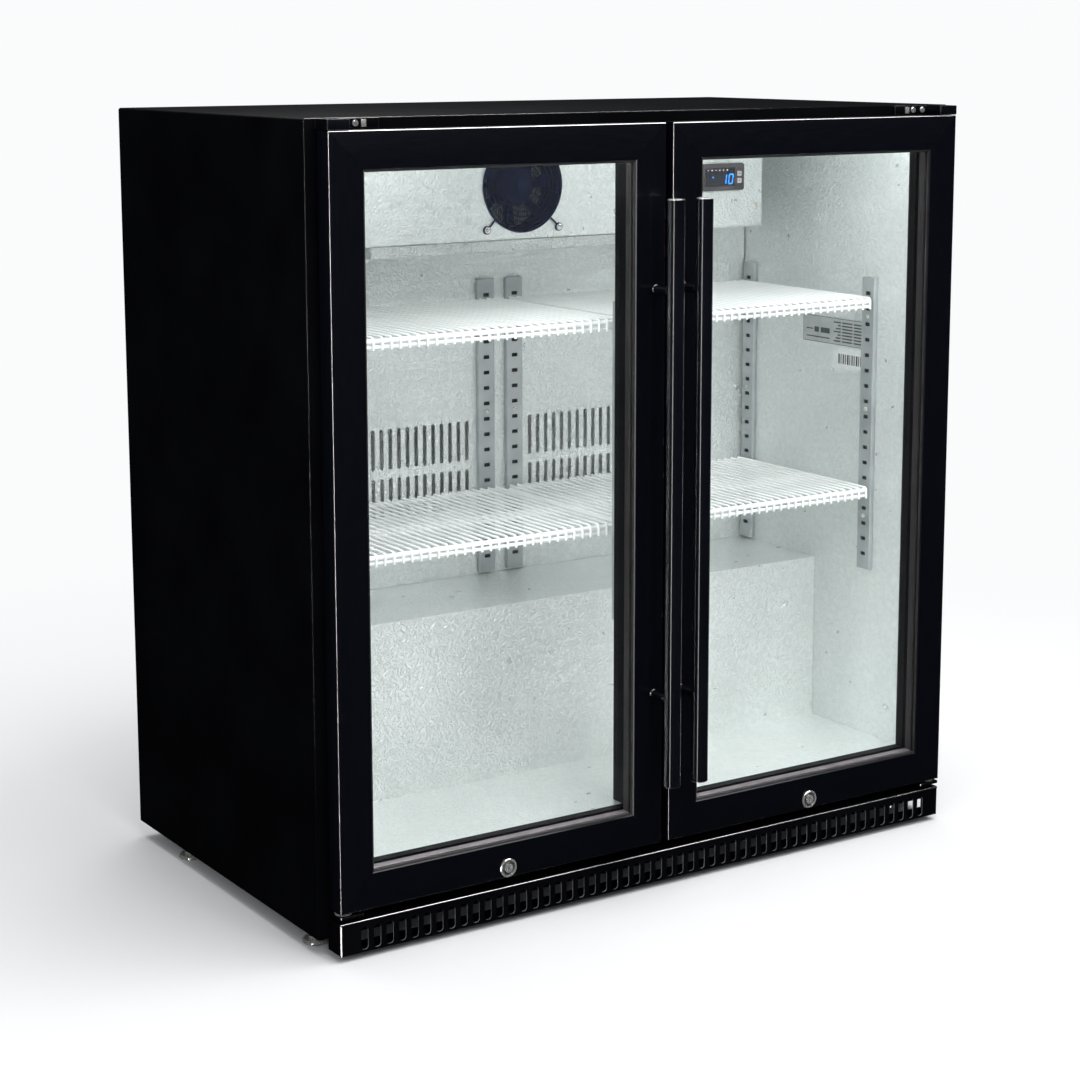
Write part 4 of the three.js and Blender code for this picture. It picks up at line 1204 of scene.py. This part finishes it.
def controller():
    """Temperature controller: bezel, dark window with two lit digits and a row of small icons, two keys."""
    lo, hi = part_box("controller")
    cover_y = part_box("evaporator_cover")[0].y
    panel = Piece("controller_panel", "cabinet", "black_plastic", ("controller",))
    keys = [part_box(f"controller_button_{way}") for way in ("up", "down")]
    window_x = (lo.x + 14 * MM, keys[0][0].x - 4 * MM)
    window_z = (lo.z + 5.5 * MM, hi.z - 5.5 * MM)
    holes = [rounded(window_x, window_z, 1.5 * MM, 3)]
    grow = 0.4 * MM
    holes += [rounded((a.x - grow, b.x + grow), (a.z - grow, b.z + grow), 0.8 * MM, 2) for a, b in keys]
    outline = rounded((lo.x, hi.x), (lo.z, hi.z), 3.5 * MM, 6)
    panel.add(plate(outline, holes, "Y", (lo.y, lo.y + 2.4 * MM), 0.25 * MM), BEZEL)
    rim = rounded((lo.x + 0.3 * MM, hi.x - 0.3 * MM), (lo.z + 0.3 * MM, hi.z - 0.3 * MM), 3.2 * MM, 6)
    pockets = [rounded((a.x - grow, b.x + grow), (a.z - grow, b.z + grow), 0.8 * MM, 2) for a, b in keys]
    panel.add(plate(rim, pockets, "Y", (lo.y + 2.4 * MM, cover_y - 0.05 * MM)), BEZEL)
    body = ((lo.x + 4 * MM, cover_y + 0.3 * MM, lo.z + 3.5 * MM), (hi.x - 4 * MM, hi.y, hi.z - 3.5 * MM))
    panel.add(block(*body, 1 * MM), BLACK_PLASTIC)
    glass_y = lo.y + 0.8 * MM
    glass = rounded(
        (window_x[0] + 0.1 * MM, window_x[1] - 0.1 * MM), (window_z[0] + 0.1 * MM, window_z[1] - 0.1 * MM),
        1.4 * MM, 3
    )
    panel.add(plate(glass, [], "Y", (glass_y, lo.y + 2.4 * MM)), WINDOW)
    tall, wide, stroke = 13.5 * MM, 7.6 * MM, 1.5 * MM
    base_z = window_z[0] + 2.6 * MM
    for n, digit in enumerate("10"):
        x = window_x[1] - 3.2 * MM - wide - (1 - n) * (wide + 3 * MM)
        for segment in SEGMENTS[digit]:
            panel.add(
                plate(
                    segment_outline(segment, x, base_z, wide, tall, stroke), [], "Y",
                    (glass_y - 0.12 * MM, glass_y)
                ),
                DIGIT
            )
    for k in range(6):
        x = window_x[0] + (5 + 6.2 * k) * MM
        dot = [
            (x + a, window_z[1] - 3 * MM + b) for a, b in arc((0, 0), (0.9 if k % 2 else 0.7) * MM, 0, 315, 7)
        ]
        panel.add(plate(dot, [], "Y", (glass_y - 0.1 * MM, glass_y)), ICON)
    spot = [(window_x[0] + 13 * MM + a, base_z + 9.5 * MM + b) for a, b in arc((0, 0), 1.0 * MM, 0, 330, 11)]
    panel.add(plate(spot, [], "Y", (glass_y - 0.1 * MM, glass_y)), DIGIT)
    panel.done()
    for way, sign in (("up", 1), ("down", -1)):
        node = f"controller_button_{way}"
        a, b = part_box(node)
        key = Piece(f"key_{way}", f"button_{way}", "white_plastic", (node,))
        cap = rounded((a.x, b.x), (a.z, b.z), 0.9 * MM, 3)
        key.add(plate(cap, [], "Y", (a.y, b.y), 0.3 * MM), KEY)
        x, z, r = (a.x + b.x) / 2, (a.z + b.z) / 2, 1.4 * MM
        mark = [(x - r, z - sign * 0.7 * r), (x + r, z - sign * 0.7 * r), (x, z + sign * 0.9 * r)]
        key.add(plate(mark, [], "Y", (a.y - 0.06 * MM, a.y + 0.05 * MM)), KEY_MARK)
        key.done()


def segment_outline(segment, x, z, wide, tall, stroke):
    """One lit bar of a slanted two-row digit."""
    half, s = tall / 2, stroke
    bars = {
        "a": (s * 0.6, tall - s, wide - s * 0.6, tall),
        "b": (wide - s, half + s * 0.25, wide, tall - s * 0.6),
        "c": (wide - s, s * 0.6, wide, half - s * 0.25),
        "d": (s * 0.6, 0, wide - s * 0.6, s),
        "e": (0, s * 0.6, s, half - s * 0.25),
        "f": (0, half + s * 0.25, s, tall - s * 0.6),
    }
    a, b, c, d = bars[segment]
    nip = s * 0.28
    corners = [
        (a + nip, b), (c - nip, b), (c, b + nip), (c, d - nip), (c - nip, d), (a + nip, d), (a, d - nip),
        (a, b + nip)
    ]
    return [(x + u + 0.14 * v, z + v) for u, v in corners]


def lamp():
    """Slim lamp bar under the ceiling, just behind the cabinet face."""
    y, z = FACE_Y + 26 * MM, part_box("evaporator_cover")[1].z
    for side, sign in SIDES:
        bar = Piece(f"lamp_bar_{side}", "cabinet", "white_plastic")
        xs = (sign * 44 * MM, sign * 385 * MM)
        bar.add(block((xs[0], y - 9 * MM, z - 6 * MM), (xs[1], y + 9 * MM, z), 1 * MM), HOUSING)
        tube = [(y + a, z - 6 * MM + b) for a, b in arc((0, 0), 6.5 * MM, 180, 360, 10)]
        bar.add(plate(tube, [], "X", (xs[0] + sign * 4 * MM, xs[1] - sign * 4 * MM)), LAMP)
        bar.done()


def labels():
    """Two plain labels on the right wall: a ruled data plate and a white tag with bars."""
    x = LINER_X
    tag = Piece("wall_labels", "cabinet")

    def patch(y, z, layer, finish, corner=0.0):
        face = (x - (0.10 + 0.08 * (layer + 1)) * MM, x - (0.02 + 0.08 * layer) * MM)
        y, z = ([FACE_Y + v * MM for v in y], [v * MM for v in z])
        tag.add(plate(rounded(y, z, max(corner, 0.05) * MM, 2), [], "X", face), finish)

    patch((82, 212), (606, 641), 0, INK, 1.5)
    patch((82.8, 211.2), (606.8, 640.2), 1, PLATE, 1.2)
    for row in range(7):
        for start, end in ((88, 110), (113, 133), (136, 150 - 4 * (row % 3))):
            patch((start, end), (610 + 4.1 * row, 611.9 + 4.1 * row), 2, INK)
    blocks = ((158, 205, 612, 613.6), (158, 176, 619, 626), (180, 189, 619, 626), (192, 205, 622, 623.6))
    for start, end, low, high in blocks:
        patch((start, end), (low, high), 2, INK)
    patch((84, 150), (576, 603), 1, LABEL, 1.5)
    y = 90.0
    for k in range(13):
        wide = (2.0, 3.2, 1.6, 2.6)[(k * 7) % 4]
        if y + wide > 144:
            break
        patch((y, y + wide), (582, 595), 2, INK)
        y += wide + (1.6, 2.4)[(k * 3) % 2]
    tag.done()


# ---------------------------------------------------------------- machine room
def machine_room():
    lo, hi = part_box("compressor")
    cx, cy = (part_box("compressor")[0].x + 80 * MM), (lo.y + hi.y) / 2
    floor = lo.z
    shell = Piece("compressor_shell", "cabinet", "black_steel", ("compressor",))
    lower = [
        (0, floor + 8 * MM), (40 * MM, floor + 8 * MM), (56 * MM, floor + 14 * MM),
        (61.5 * MM, floor + 26 * MM)
    ]
    lower += [
        (61.5 * MM, floor + 78 * MM), (62 * MM, floor + 78.4 * MM), (62 * MM, floor + 84 * MM),
        (60 * MM, floor + 84.4 * MM)
    ]
    upper = [(60 * MM, floor + 122 * MM), (57 * MM, floor + 138 * MM), (48 * MM, floor + 150 * MM)]
    upper += [(30 * MM, floor + 157.5 * MM), (10 * MM, floor + 160 * MM), (0, floor + 160.2 * MM)]
    shell.add(turned("Z", (cx, cy), lower + upper, 56), SHELL_PAINT)
    shell.add(
        block((cx - 80 * MM, cy - 55 * MM, floor), (cx + 80 * MM, cy + 55 * MM, floor + 3 * MM), 0.8 * MM),
        ZINC
    )
    for sx in (-1, 1):
        for sy in (-1, 1):
            foot = (cx + sx * 68 * MM, cy + sy * 44 * MM)
            bush = [
                (0, floor + 3 * MM), (9 * MM, floor + 3 * MM), (9 * MM, floor + 8 * MM),
                (7 * MM, floor + 10 * MM), (9 * MM, floor + 12 * MM), (8 * MM, floor + 16 * MM),
                (0, floor + 16 * MM)
            ]
            shell.add(turned("Z", foot, bush, 20), RUBBER)
            arm = block(
                (foot[0] - 9 * MM, foot[1] - 9 * MM, floor + 10.2 * MM),
                (cx + sx * 38 * MM, cy + sy * 26 * MM, floor + 12.6 * MM), 0.6 * MM
            )
            shell.add(arm, SHELL_PAINT)
    shell.add(
        block(
            (cx + 55 * MM, cy - 24 * MM, floor + 50 * MM), (hi.x, cy + 24 * MM, floor + 106 * MM), 4 * MM, 3
        ),
        BLACK_PLASTIC
    )
    for z, out in ((62, -1), (96, 1)):
        start = (cx - 58 * MM, cy + out * 14 * MM, floor + z * MM)
        bendy = [
            start, (cx - 74 * MM, start[1], start[2]), (cx - 80 * MM, start[1], start[2] + 8 * MM),
            (cx - 80 * MM, start[1], floor + 150 * MM), (cx - 80 * MM, start[1] - 10 * MM, floor + 160 * MM)
        ]
        shell.add(swept(bendy, 3 * MM, 10), COPPER)
    shell.done()
    lo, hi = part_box("condenser_coil")
    coil = Piece("condenser_fins", "cabinet", "condenser", ("condenser_coil",))
    fin = block(
        (lo.x + 12 * MM, lo.y + 1 * MM, lo.z + 2 * MM), (lo.x + 12.3 * MM, hi.y - 1 * MM, hi.z - 2 * MM)
    )
    count = 49
    step = (hi.x - lo.x - 24.3 * MM) / (count - 1)
    coil.add(grown(ROW, mesh_of(fin), SHELL_PAINT, Count=count, Step=(step, 0.0, 0.0)), SHELL_PAINT)
    for x in (lo.x + 8 * MM, hi.x - 9.2 * MM):
        coil.add(block((x, lo.y, lo.z), (x + 1.2 * MM, hi.y, hi.z), 0.3 * MM), GALVANISED)
    rows = 7
    for y in (lo.y + 12 * MM, hi.y - 12 * MM):
        for i in range(rows):
            z = lo.z + (14 + 26 * i) * MM
            coil.add(swept([(lo.x + 5 * MM, y, z), (hi.x - 5 * MM, y, z)], 3.5 * MM, 10), SHELL_PAINT)
    coil.done()
    blades_lo, blades_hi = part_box("condenser_fan_blades")
    fan = (blades_lo + blades_hi) / 2
    fan.x, fan.z = (blades_lo.x + blades_hi.x) / 2, (blades_lo.z + blades_hi.z) / 2
    wheel = Piece("condenser_fan_wheel", "condenser_fan", "galvanised", ("condenser_fan_blades",))
    wheel.add(
        grown(AROUND, blade(20 * MM, 74 * MM, 30 * MM, 24, 10), GALVANISED, Count=4), GALVANISED,
        Matrix.Translation(fan)
    )
    hub = [(0, -7 * MM), (14 * MM, -7 * MM), (21 * MM, -4 * MM), (21.5 * MM, 6 * MM), (0, 7 * MM)]
    wheel.add(turned("Y", (fan.x, fan.z), [(r, fan.y + a) for r, a in hub], 36), GALVANISED)
    wheel.done()


# ---------------------------------------------------------------- doors
def door(side, sign):
    body = f"{side}_door"
    lo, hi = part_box(f"{side}_door_frame")
    front, back = lo.y, hi.y
    opening = ((lo.x + FRAME_WIDTH, hi.x - FRAME_WIDTH), (lo.z + FRAME_WIDTH, hi.z - FRAME_WIDTH))
    lap, lip, edge = 8.3 * MM, 2.9 * MM, 1.8 * MM
    w = FRAME_WIDTH
    profile = [(0, front + lip), (0, front + 1.5 * MM), (1.3 * MM, front)]
    profile += [(w - edge + a, front + edge + b) for a, b in arc((0, 0), edge, 270, 360, 4)]
    profile += [(w, back - 1 * MM), (w - 1 * MM, back), (lap, back), (lap, front + lip)]
    bars = Piece(f"{side}_door_extrusions", body, "door_frame", (f"{side}_door_frame",))
    for bar, upright in mitred_bars(opening, profile, 0.12 * MM):
        # the faces turning from front to outer sides take bright metal: painted highlight lines on the door
        # edges
        bars.add(bar, STILE if upright else RAIL, other=(HIGHLIGHT_EDGE, front_edges(lo, hi)))
    bars.done(28)

    pane_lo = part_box(f"{side}_door_outer_pane")[0]
    bead = [
        (0.2 * MM, front + 1.2 * MM), (-1.1 * MM, front + 1.7 * MM), (-1.7 * MM, pane_lo.y - 0.05 * MM),
        (0.2 * MM, pane_lo.y - 0.05 * MM)
    ]
    trim = Piece(f"{side}_door_glazing_bead", body, "rubber")
    trim.add(round_opening(opening, bead), RUBBER)
    trim.done()
    for pane in ("outer", "inner"):
        glass = cad[f"{side}_door_{pane}_pane"]
        glass.data.materials.clear()
        glass.data.materials.append(GLASS)
        glass.visible_shadow = False

    s_lo, s_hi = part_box(f"{side}_door_glass_spacer")
    y0, y1 = s_lo.y, s_hi.y
    bar = 6.5 * MM  # how deep the spacer reaches from its outer edge
    outer = opening[0][0] - s_lo.x
    inner = outer - bar
    ridges = [(outer, y0), (outer, y1), (inner + 0.6 * MM, y1), (inner, y1 - 0.6 * MM)]
    for k in range(3):
        y = y1 - (2.2 + 2.6 * k) * MM
        ridges += [
            (inner, y), (inner + 0.5 * MM, y - 0.3 * MM), (inner + 0.5 * MM, y - 0.7 * MM),
            (inner, y - 1.0 * MM)
        ]
    ridges += [(inner, y0 + 0.6 * MM), (inner + 0.6 * MM, y0)]
    for k in range(2):
        out = inner + (1.4 + 2.2 * k) * MM
        ridges += [
            (out, y0), (out + 0.3 * MM, y0 + 0.5 * MM), (out + 0.7 * MM, y0 + 0.5 * MM), (out + 1.0 * MM, y0)
        ]
    spacer = Piece(f"{side}_door_spacer_bar", body, "spacer", (f"{side}_door_glass_spacer",))
    # the uprights and top run take the darker copy, painted shade; the bottom run stays lit
    shaded = (SHADED_SPACER, lambda centre, normal: centre.z > opening[1][0] + 20 * MM)
    spacer.add(round_opening(opening, ridges), SPACER, other=shaded)
    spacer.done(20)

    g_lo, g_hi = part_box(f"{side}_door_gasket")
    y0, y1, wide = g_lo.y, g_hi.y, 14 * MM
    seal = ((g_lo.x + wide, g_hi.x - wide), (g_lo.z + wide, g_hi.z - wide))
    bellows = [
        (0.6 * MM, y0), (13.4 * MM, y0), (14 * MM, y0 + 0.8 * MM), (13 * MM, y0 + 1.5 * MM),
        (14 * MM, y0 + 2.2 * MM)
    ]
    bellows += [
        (13 * MM, y0 + 2.9 * MM), (13.8 * MM, y1 - 0.6 * MM), (13 * MM, y1), (1 * MM, y1),
        (0.2 * MM, y1 - 0.6 * MM)
    ]
    bellows += [(1 * MM, y0 + 2.9 * MM), (0, y0 + 2.2 * MM), (1 * MM, y0 + 1.5 * MM), (0, y0 + 0.8 * MM)]
    gasket = Piece(f"{side}_door_seal", body, "rubber", (f"{side}_door_gasket",))
    gasket.add(round_opening(seal, bellows), RUBBER)
    gasket.done()

    handle(side, body)
    lock(side, sign, body)
    hinges(side, sign)


def handle(side, body):
    """A long tube on two posts, its cut ends bright round a black plug."""
    lo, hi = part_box(f"{side}_door_handle")
    r = (hi.x - lo.x) / 2
    x, y = lo.x + r, lo.y + r
    bar = Piece(f"{side}_door_bar_handle", body, "handle", (f"{side}_door_handle",))
    span = (lo.z + 1.0 * MM, hi.z - 1.0 * MM)
    skin = [(r - 2.5 * MM, span[0]), (r, span[0]), (r, span[1]), (r - 2.5 * MM, span[1])]
    bar.add(turned("Z", (x, y), skin, 48, ring=True), HANDLE)
    for z, way in ((lo.z, 1), (hi.z, -1)):
        rim = [(r - 2.5 * MM, z + way * 1.0 * MM), (r - 2.5 * MM, z + way * 0.1 * MM), (r - 2.3 * MM, z)]
        rim += [(r - 0.9 * MM, z), (r - 0.15 * MM, z + way * 0.5 * MM), (r - 0.1 * MM, z + way * 1.0 * MM)]
        bar.add(turned("Z", (x, y), rim, 48, ring=True), CUT)
        plug = [
            (0, z + way * 0.5 * MM), (r - 3.4 * MM, z + way * 0.5 * MM), (r - 2.6 * MM, z + way * 1.0 * MM),
            (r - 2.6 * MM, z + way * 6 * MM), (0, z + way * 6 * MM)
        ]
        bar.add(turned("Z", (x, y), plug, 32), BLACK_PLASTIC)
    door_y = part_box(f"{side}_door_frame")[0].y
    for z in (lo.z + 103 * MM, hi.z - 105 * MM):
        post = [
            (0, y + r - 1.5 * MM), (6 * MM, y + r - 1.5 * MM), (6 * MM, y + r + 0.3 * MM),
            (5.2 * MM, y + r + 1.2 * MM)
        ]
        post += [
            (5.2 * MM, door_y - 4.5 * MM), (6.0 * MM, door_y - 3.5 * MM), (6.0 * MM, door_y - 0.9 * MM),
            (5.4 * MM, door_y - 0.3 * MM), (0, door_y - 0.3 * MM)
        ]
        bar.add(turned("Y", (x, z), post, 32), HANDLE)
    bar.done(28)


def lock(side, sign, body):
    """Key lock: bright rolled ring, bronze dished face, and a plug with a key slot and a cam behind."""
    lo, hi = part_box(f"{side}_door_lock_sleeve")
    x, z, r = (lo.x + hi.x) / 2, (lo.z + hi.z) / 2, (hi.x - lo.x) / 2
    door_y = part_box(f"{side}_door_frame")[0].y
    front = lo.y
    sleeve = Piece(f"{side}_lock_ring", body, "chrome", (f"{side}_door_lock_sleeve",))
    ring = [
        (8.6 * MM, front + 0.9 * MM), (8.9 * MM, front + 0.2 * MM), (9.5 * MM, front),
        (r - 0.7 * MM, front + 0.15 * MM)
    ]
    ring += [
        (r, front + 0.9 * MM), (r, door_y - 0.3 * MM), (8 * MM, door_y - 0.3 * MM), (8 * MM, hi.y),
        (7.4 * MM, hi.y), (7.4 * MM, front + 0.9 * MM)
    ]
    sleeve.add(turned("Y", (x, z), ring, 48, ring=True), CHROME)
    dish = [
        (8.55 * MM, front + 0.9 * MM), (7.9 * MM, front + 0.7 * MM), (7.5 * MM, front + 1.0 * MM),
        (6.6 * MM, front + 1.0 * MM), (6.3 * MM, front + 0.7 * MM)
    ]
    dish += [(5.95 * MM, front + 0.7 * MM), (5.95 * MM, front + 8 * MM), (8.55 * MM, front + 1.6 * MM)]
    sleeve.add(turned("Y", (x, z), dish, 48, ring=True), BRONZE)
    sleeve.done(30)
    b_lo, b_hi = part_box(f"{side}_door_lock_barrel")
    barrel = Piece(f"{side}_lock_plug", f"{side}_lock", "chrome", (f"{side}_door_lock_barrel",))
    key = rounded((x - 0.75 * MM, x + 0.75 * MM), (z - 2.9 * MM, z + 2.9 * MM), 0.3 * MM, 1)
    face = [(x + a, z + b) for a, b in arc((0, 0), 5.5 * MM, 0, 352.5, 47)]
    barrel.add(plate(face, [key], "Y", (b_lo.y + 0.1 * MM, b_lo.y + 3.4 * MM), 0.15 * MM), CHROME)
    rest = [
        (0, b_lo.y + 3.4 * MM), (5.5 * MM, b_lo.y + 3.4 * MM), (5.5 * MM, b_hi.y - 2.0 * MM),
        (0, b_hi.y - 2.0 * MM)
    ]
    barrel.add(turned("Y", (x, z), rest, 32), ZINC)
    tip = b_hi.x if sign < 0 else b_lo.x
    cam = rounded(
        (x + sign * 6 * MM, tip), (b_lo.z, b_hi.z) if b_hi.z - b_lo.z < 11 * MM else (z - 5 * MM, z + 5 * MM),
        4.5 * MM, 6
    )
    barrel.add(plate(cam, [], "Y", (b_hi.y - 2 * MM, b_hi.y), 0.2 * MM), ZINC)
    barrel.done(30)


def hinges(side, sign):
    """Top bracket boxed over the door's corner, with its screws; zinc plate and pin below."""
    lo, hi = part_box(f"{side}_hinge_top")
    frame_lo, frame_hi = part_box(f"{side}_door_frame")
    edge = hi.x if sign > 0 else lo.x
    pivot = (edge - sign * 10 * MM, (frame_lo.y + frame_hi.y) / 2)
    base = frame_hi.z + 0.6 * MM
    top = Piece(f"{side}_top_bracket", "cabinet", "black_case", (f"{side}_hinge_top",))
    x1 = edge - sign * 26 * MM
    shell = [
        (edge, hi.z), (x1, hi.z), (x1, base), (x1 + sign * 1.6 * MM, base),
        (x1 + sign * 1.6 * MM, hi.z - 1.6 * MM)
    ]
    shell += [(edge - sign * 1.6 * MM, hi.z - 1.6 * MM), (edge - sign * 1.6 * MM, base), (edge, base)]
    # rims facing part way to the front take bright metal on the shell and leaf: painted highlight outlines
    highlight_rims = (HIGHLIGHT_EDGE, lambda centre, normal: 0.2 < abs(normal.y) < 0.97)
    top.add(plate(shell, [], "Y", (lo.y + 1.8 * MM, hi.y - 3.2 * MM), 0.25 * MM), COAT, other=highlight_rims)
    nose = plate(rounded((edge, x1), (base, hi.z), 0.8 * MM, 3), [], "Y", (lo.y, lo.y + 1.6 * MM), 0.75 * MM)
    # the nose's rims take zinc: painted highlight outline round the black nose
    top.add(nose, STILE, other=(ZINC, highlight_rims[1]))
    top.add(
        block(
            (edge - sign * 3 * MM, lo.y + 3 * MM, base), (x1 + sign * 3 * MM, hi.y - 4 * MM, base + 2.2 * MM),
            0.4 * MM
        ),
        ZINC
    )
    end = lo.x if sign > 0 else hi.x
    leaf = block((edge, hi.y - 3 * MM, base), (end, hi.y, hi.z), 0.5 * MM)
    top.add(leaf, COAT, other=highlight_rims)
    pin = [
        (0, lo.z), (3.4 * MM, lo.z), (4 * MM, lo.z + 0.8 * MM), (4 * MM, base + 0.5 * MM),
        (0, base + 0.5 * MM)
    ]
    top.add(turned("Z", pivot, pin, 28), ZINC)
    mid = (base + hi.z) / 2
    heads = [((edge - sign * k * MM, hi.y - 3 * MM, mid), (0, -1, 0)) for k in (32, 47)]
    top.add(screws(heads, CHROME, 1.25), CHROME)
    top.add(
        block(
            (edge - sign * 54 * MM, hi.y - 4.6 * MM, base + 1.5 * MM),
            (edge - sign * 60 * MM, hi.y - 3 * MM, hi.z - 1.5 * MM), 0.3 * MM
        ),
        ZINC
    )
    top.done(30)

    lo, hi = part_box(f"{side}_hinge_bottom")
    plate_top = frame_lo.z - 3 * MM
    low = Piece(f"{side}_bottom_bracket", "cabinet", "galvanised", (f"{side}_hinge_bottom",))
    tongue = rounded((edge, edge - sign * 30 * MM), (lo.y, hi.y), 3 * MM, 4)
    # the tongue's rims take bright metal too: painted highlight
    low.add(plate(tongue, [], "Z", (plate_top - 3 * MM, plate_top), 0.4 * MM), COAT, other=highlight_rims)
    end = edge - sign * 60 * MM
    low.add(block((edge, hi.y - 3 * MM, lo.z), (end, hi.y, plate_top), 0.4 * MM), COAT)
    pin = [
        (0, plate_top - 2.9 * MM), (9.6 * MM, plate_top - 2.9 * MM), (9.6 * MM, plate_top + 1.8 * MM),
        (4 * MM, plate_top + 2.2 * MM), (4 * MM, hi.z - 0.8 * MM), (3.4 * MM, hi.z), (0, hi.z)
    ]
    low.add(turned("Z", pivot, pin, 28), ZINC)
    heads = [((edge - sign * k * MM, hi.y - 3 * MM, lo.z + 3.4 * MM), (0, -1, 0)) for k in (40, 52)]
    low.add(screws(heads, ZINC, 0.9), ZINC)
    low.done(30)


# ---------------------------------------------------------------- finishes of the CAD pieces that stay
KEPT = {
    COAT: ("cabinet_face_frame", "centre_mullion", "base_plate"),
    GALVANISED: ("rear_panel", "condenser_fan_frame"),
    STUCCO: ("liner_walls", "liner_floor_and_hump"),
    FOAM: ("foam_insulation",),
    NAVY: ("evaporator_fan_frame",),
    FINS: ("evaporator_coil",),
}


def finish_kept():
    for finish, names in KEPT.items():
        for name in names:
            cad[name].data.materials.clear()
            cad[name].data.materials.append(finish)


# ---------------------------------------------------------------- studio
def area_light(name, place, target, size, power, colour=(1, 1, 1)):
    data = bpy.data.lights.new(name, "AREA")
    data.shape = "RECTANGLE"
    data.size, data.size_y = size
    data.energy = power
    data.color = colour
    light = bpy.data.objects.new(name, data)
    light.visible_camera = False
    light.location = place
    light.rotation_euler = (Vector(target) - Vector(place)).to_track_quat("-Z", "Y").to_euler()
    scene.collection.objects.link(light)
    return light


BACKDROP = (0.955, 0.970, 0.975)


def studio():
    ground = bpy.data.meshes.new("studio_floor")
    bm = bmesh.new()
    bmesh.ops.create_circle(bm, cap_ends=True, segments=64, radius=40)
    bm.to_mesh(ground)
    bm.free()
    floor = bpy.data.objects.new("studio_floor", ground)
    scene.collection.objects.link(floor)
    pale = Finish("studio_floor", Specular_IOR_Level=0.0, Roughness=0.9)
    apart = pale.node("ShaderNodeVectorMath", {0: pale.place}, operation="LENGTH").outputs["Value"]
    far = pale.spread(apart, 0.0, 1.0, 0.75, 1.7)
    pale.colour(pale.ramp(far, (0.0, (0.68, 0.685, 0.69)), (1.0, (0.0, 0.0, 0.0))))
    glow = pale.ramp(far, (0.0, (0.0, 0.0, 0.0)), (1.0, BACKDROP))
    pale.tree.links.new(glow, pale.shader.inputs["Emission Color"])
    pale.shader.inputs["Emission Strength"].default_value = 1.0
    ground.materials.append(pale.material)
    floor.visible_glossy = False

    world = bpy.data.worlds.new("studio")
    scene.world = world
    world.use_nodes = True
    tree = world.node_tree
    tree.nodes.clear()
    ray = add_node(tree, "ShaderNodeLightPath").outputs
    soft = add_node(tree, "ShaderNodeBackground", {"Color": (0.94, 0.97, 1.0, 1), "Strength": 0.45})
    dark = add_node(tree, "ShaderNodeBackground", {"Color": (0.9, 0.95, 1.0, 1), "Strength": 0.015})
    seen = add_node(tree, "ShaderNodeBackground", {"Color": (*BACKDROP, 1), "Strength": 1.0})
    first = add_node(
        tree, "ShaderNodeMixShader", {0: ray["Is Glossy Ray"], 1: soft.outputs[0], 2: dark.outputs[0]}
    )
    second = add_node(
        tree, "ShaderNodeMixShader", {0: ray["Is Camera Ray"], 1: first.outputs[0], 2: seen.outputs[0]}
    )
    add_node(tree, "ShaderNodeOutputWorld", {"Surface": second.outputs[0]})

    area_light("top_softbox", (0.6, -1.1, 2.9), (0, -0.1, 0.4), (3.0, 2.0), 100)
    area_light("front_softbox", (-0.6, -3.2, 2.6), (0, 0, 0.35), (2.4, 1.0), 36)
    area_light("left_strip", (-2.4, -1.45, 0.3), (-0.3, -0.3, 0.3), (0.2, 3.6), 30)
    area_light("back_softbox", (0.0, 1.5, 3.4), (0, 0.2, 0.3), (2.6, 1.6), 60)

    data = bpy.data.cameras.new("camera")
    data.sensor_width = 36
    data.lens = 77.7
    data.shift_y = -0.102
    camera = bpy.data.objects.new("camera", data)
    camera.location = (-1.580, -2.388, 1.000)
    camera.rotation_euler = (math.radians(80.507), math.radians(0.100), math.radians(-33.144))
    scene.collection.objects.link(camera)
    scene.camera = camera
    scene.view_settings.view_transform = "Standard"


studio()
outer_case()
kick_grille()
feet()
rear_covers()
cable_gland()
shelf_strips()
for shelf_level in ("lower", "upper"):
    for shelf_side, _ in SIDES:
        wire_shelf(shelf_level, shelf_side)
shelf_clips()
duct_panel()
evaporator_cover()
evaporator_fan()
controller()
lamp()
labels()
machine_room()
for door_side, door_sign in SIDES:
    door(door_side, door_sign)
finish_kept()
bpy.data.objects.remove(HEAD)
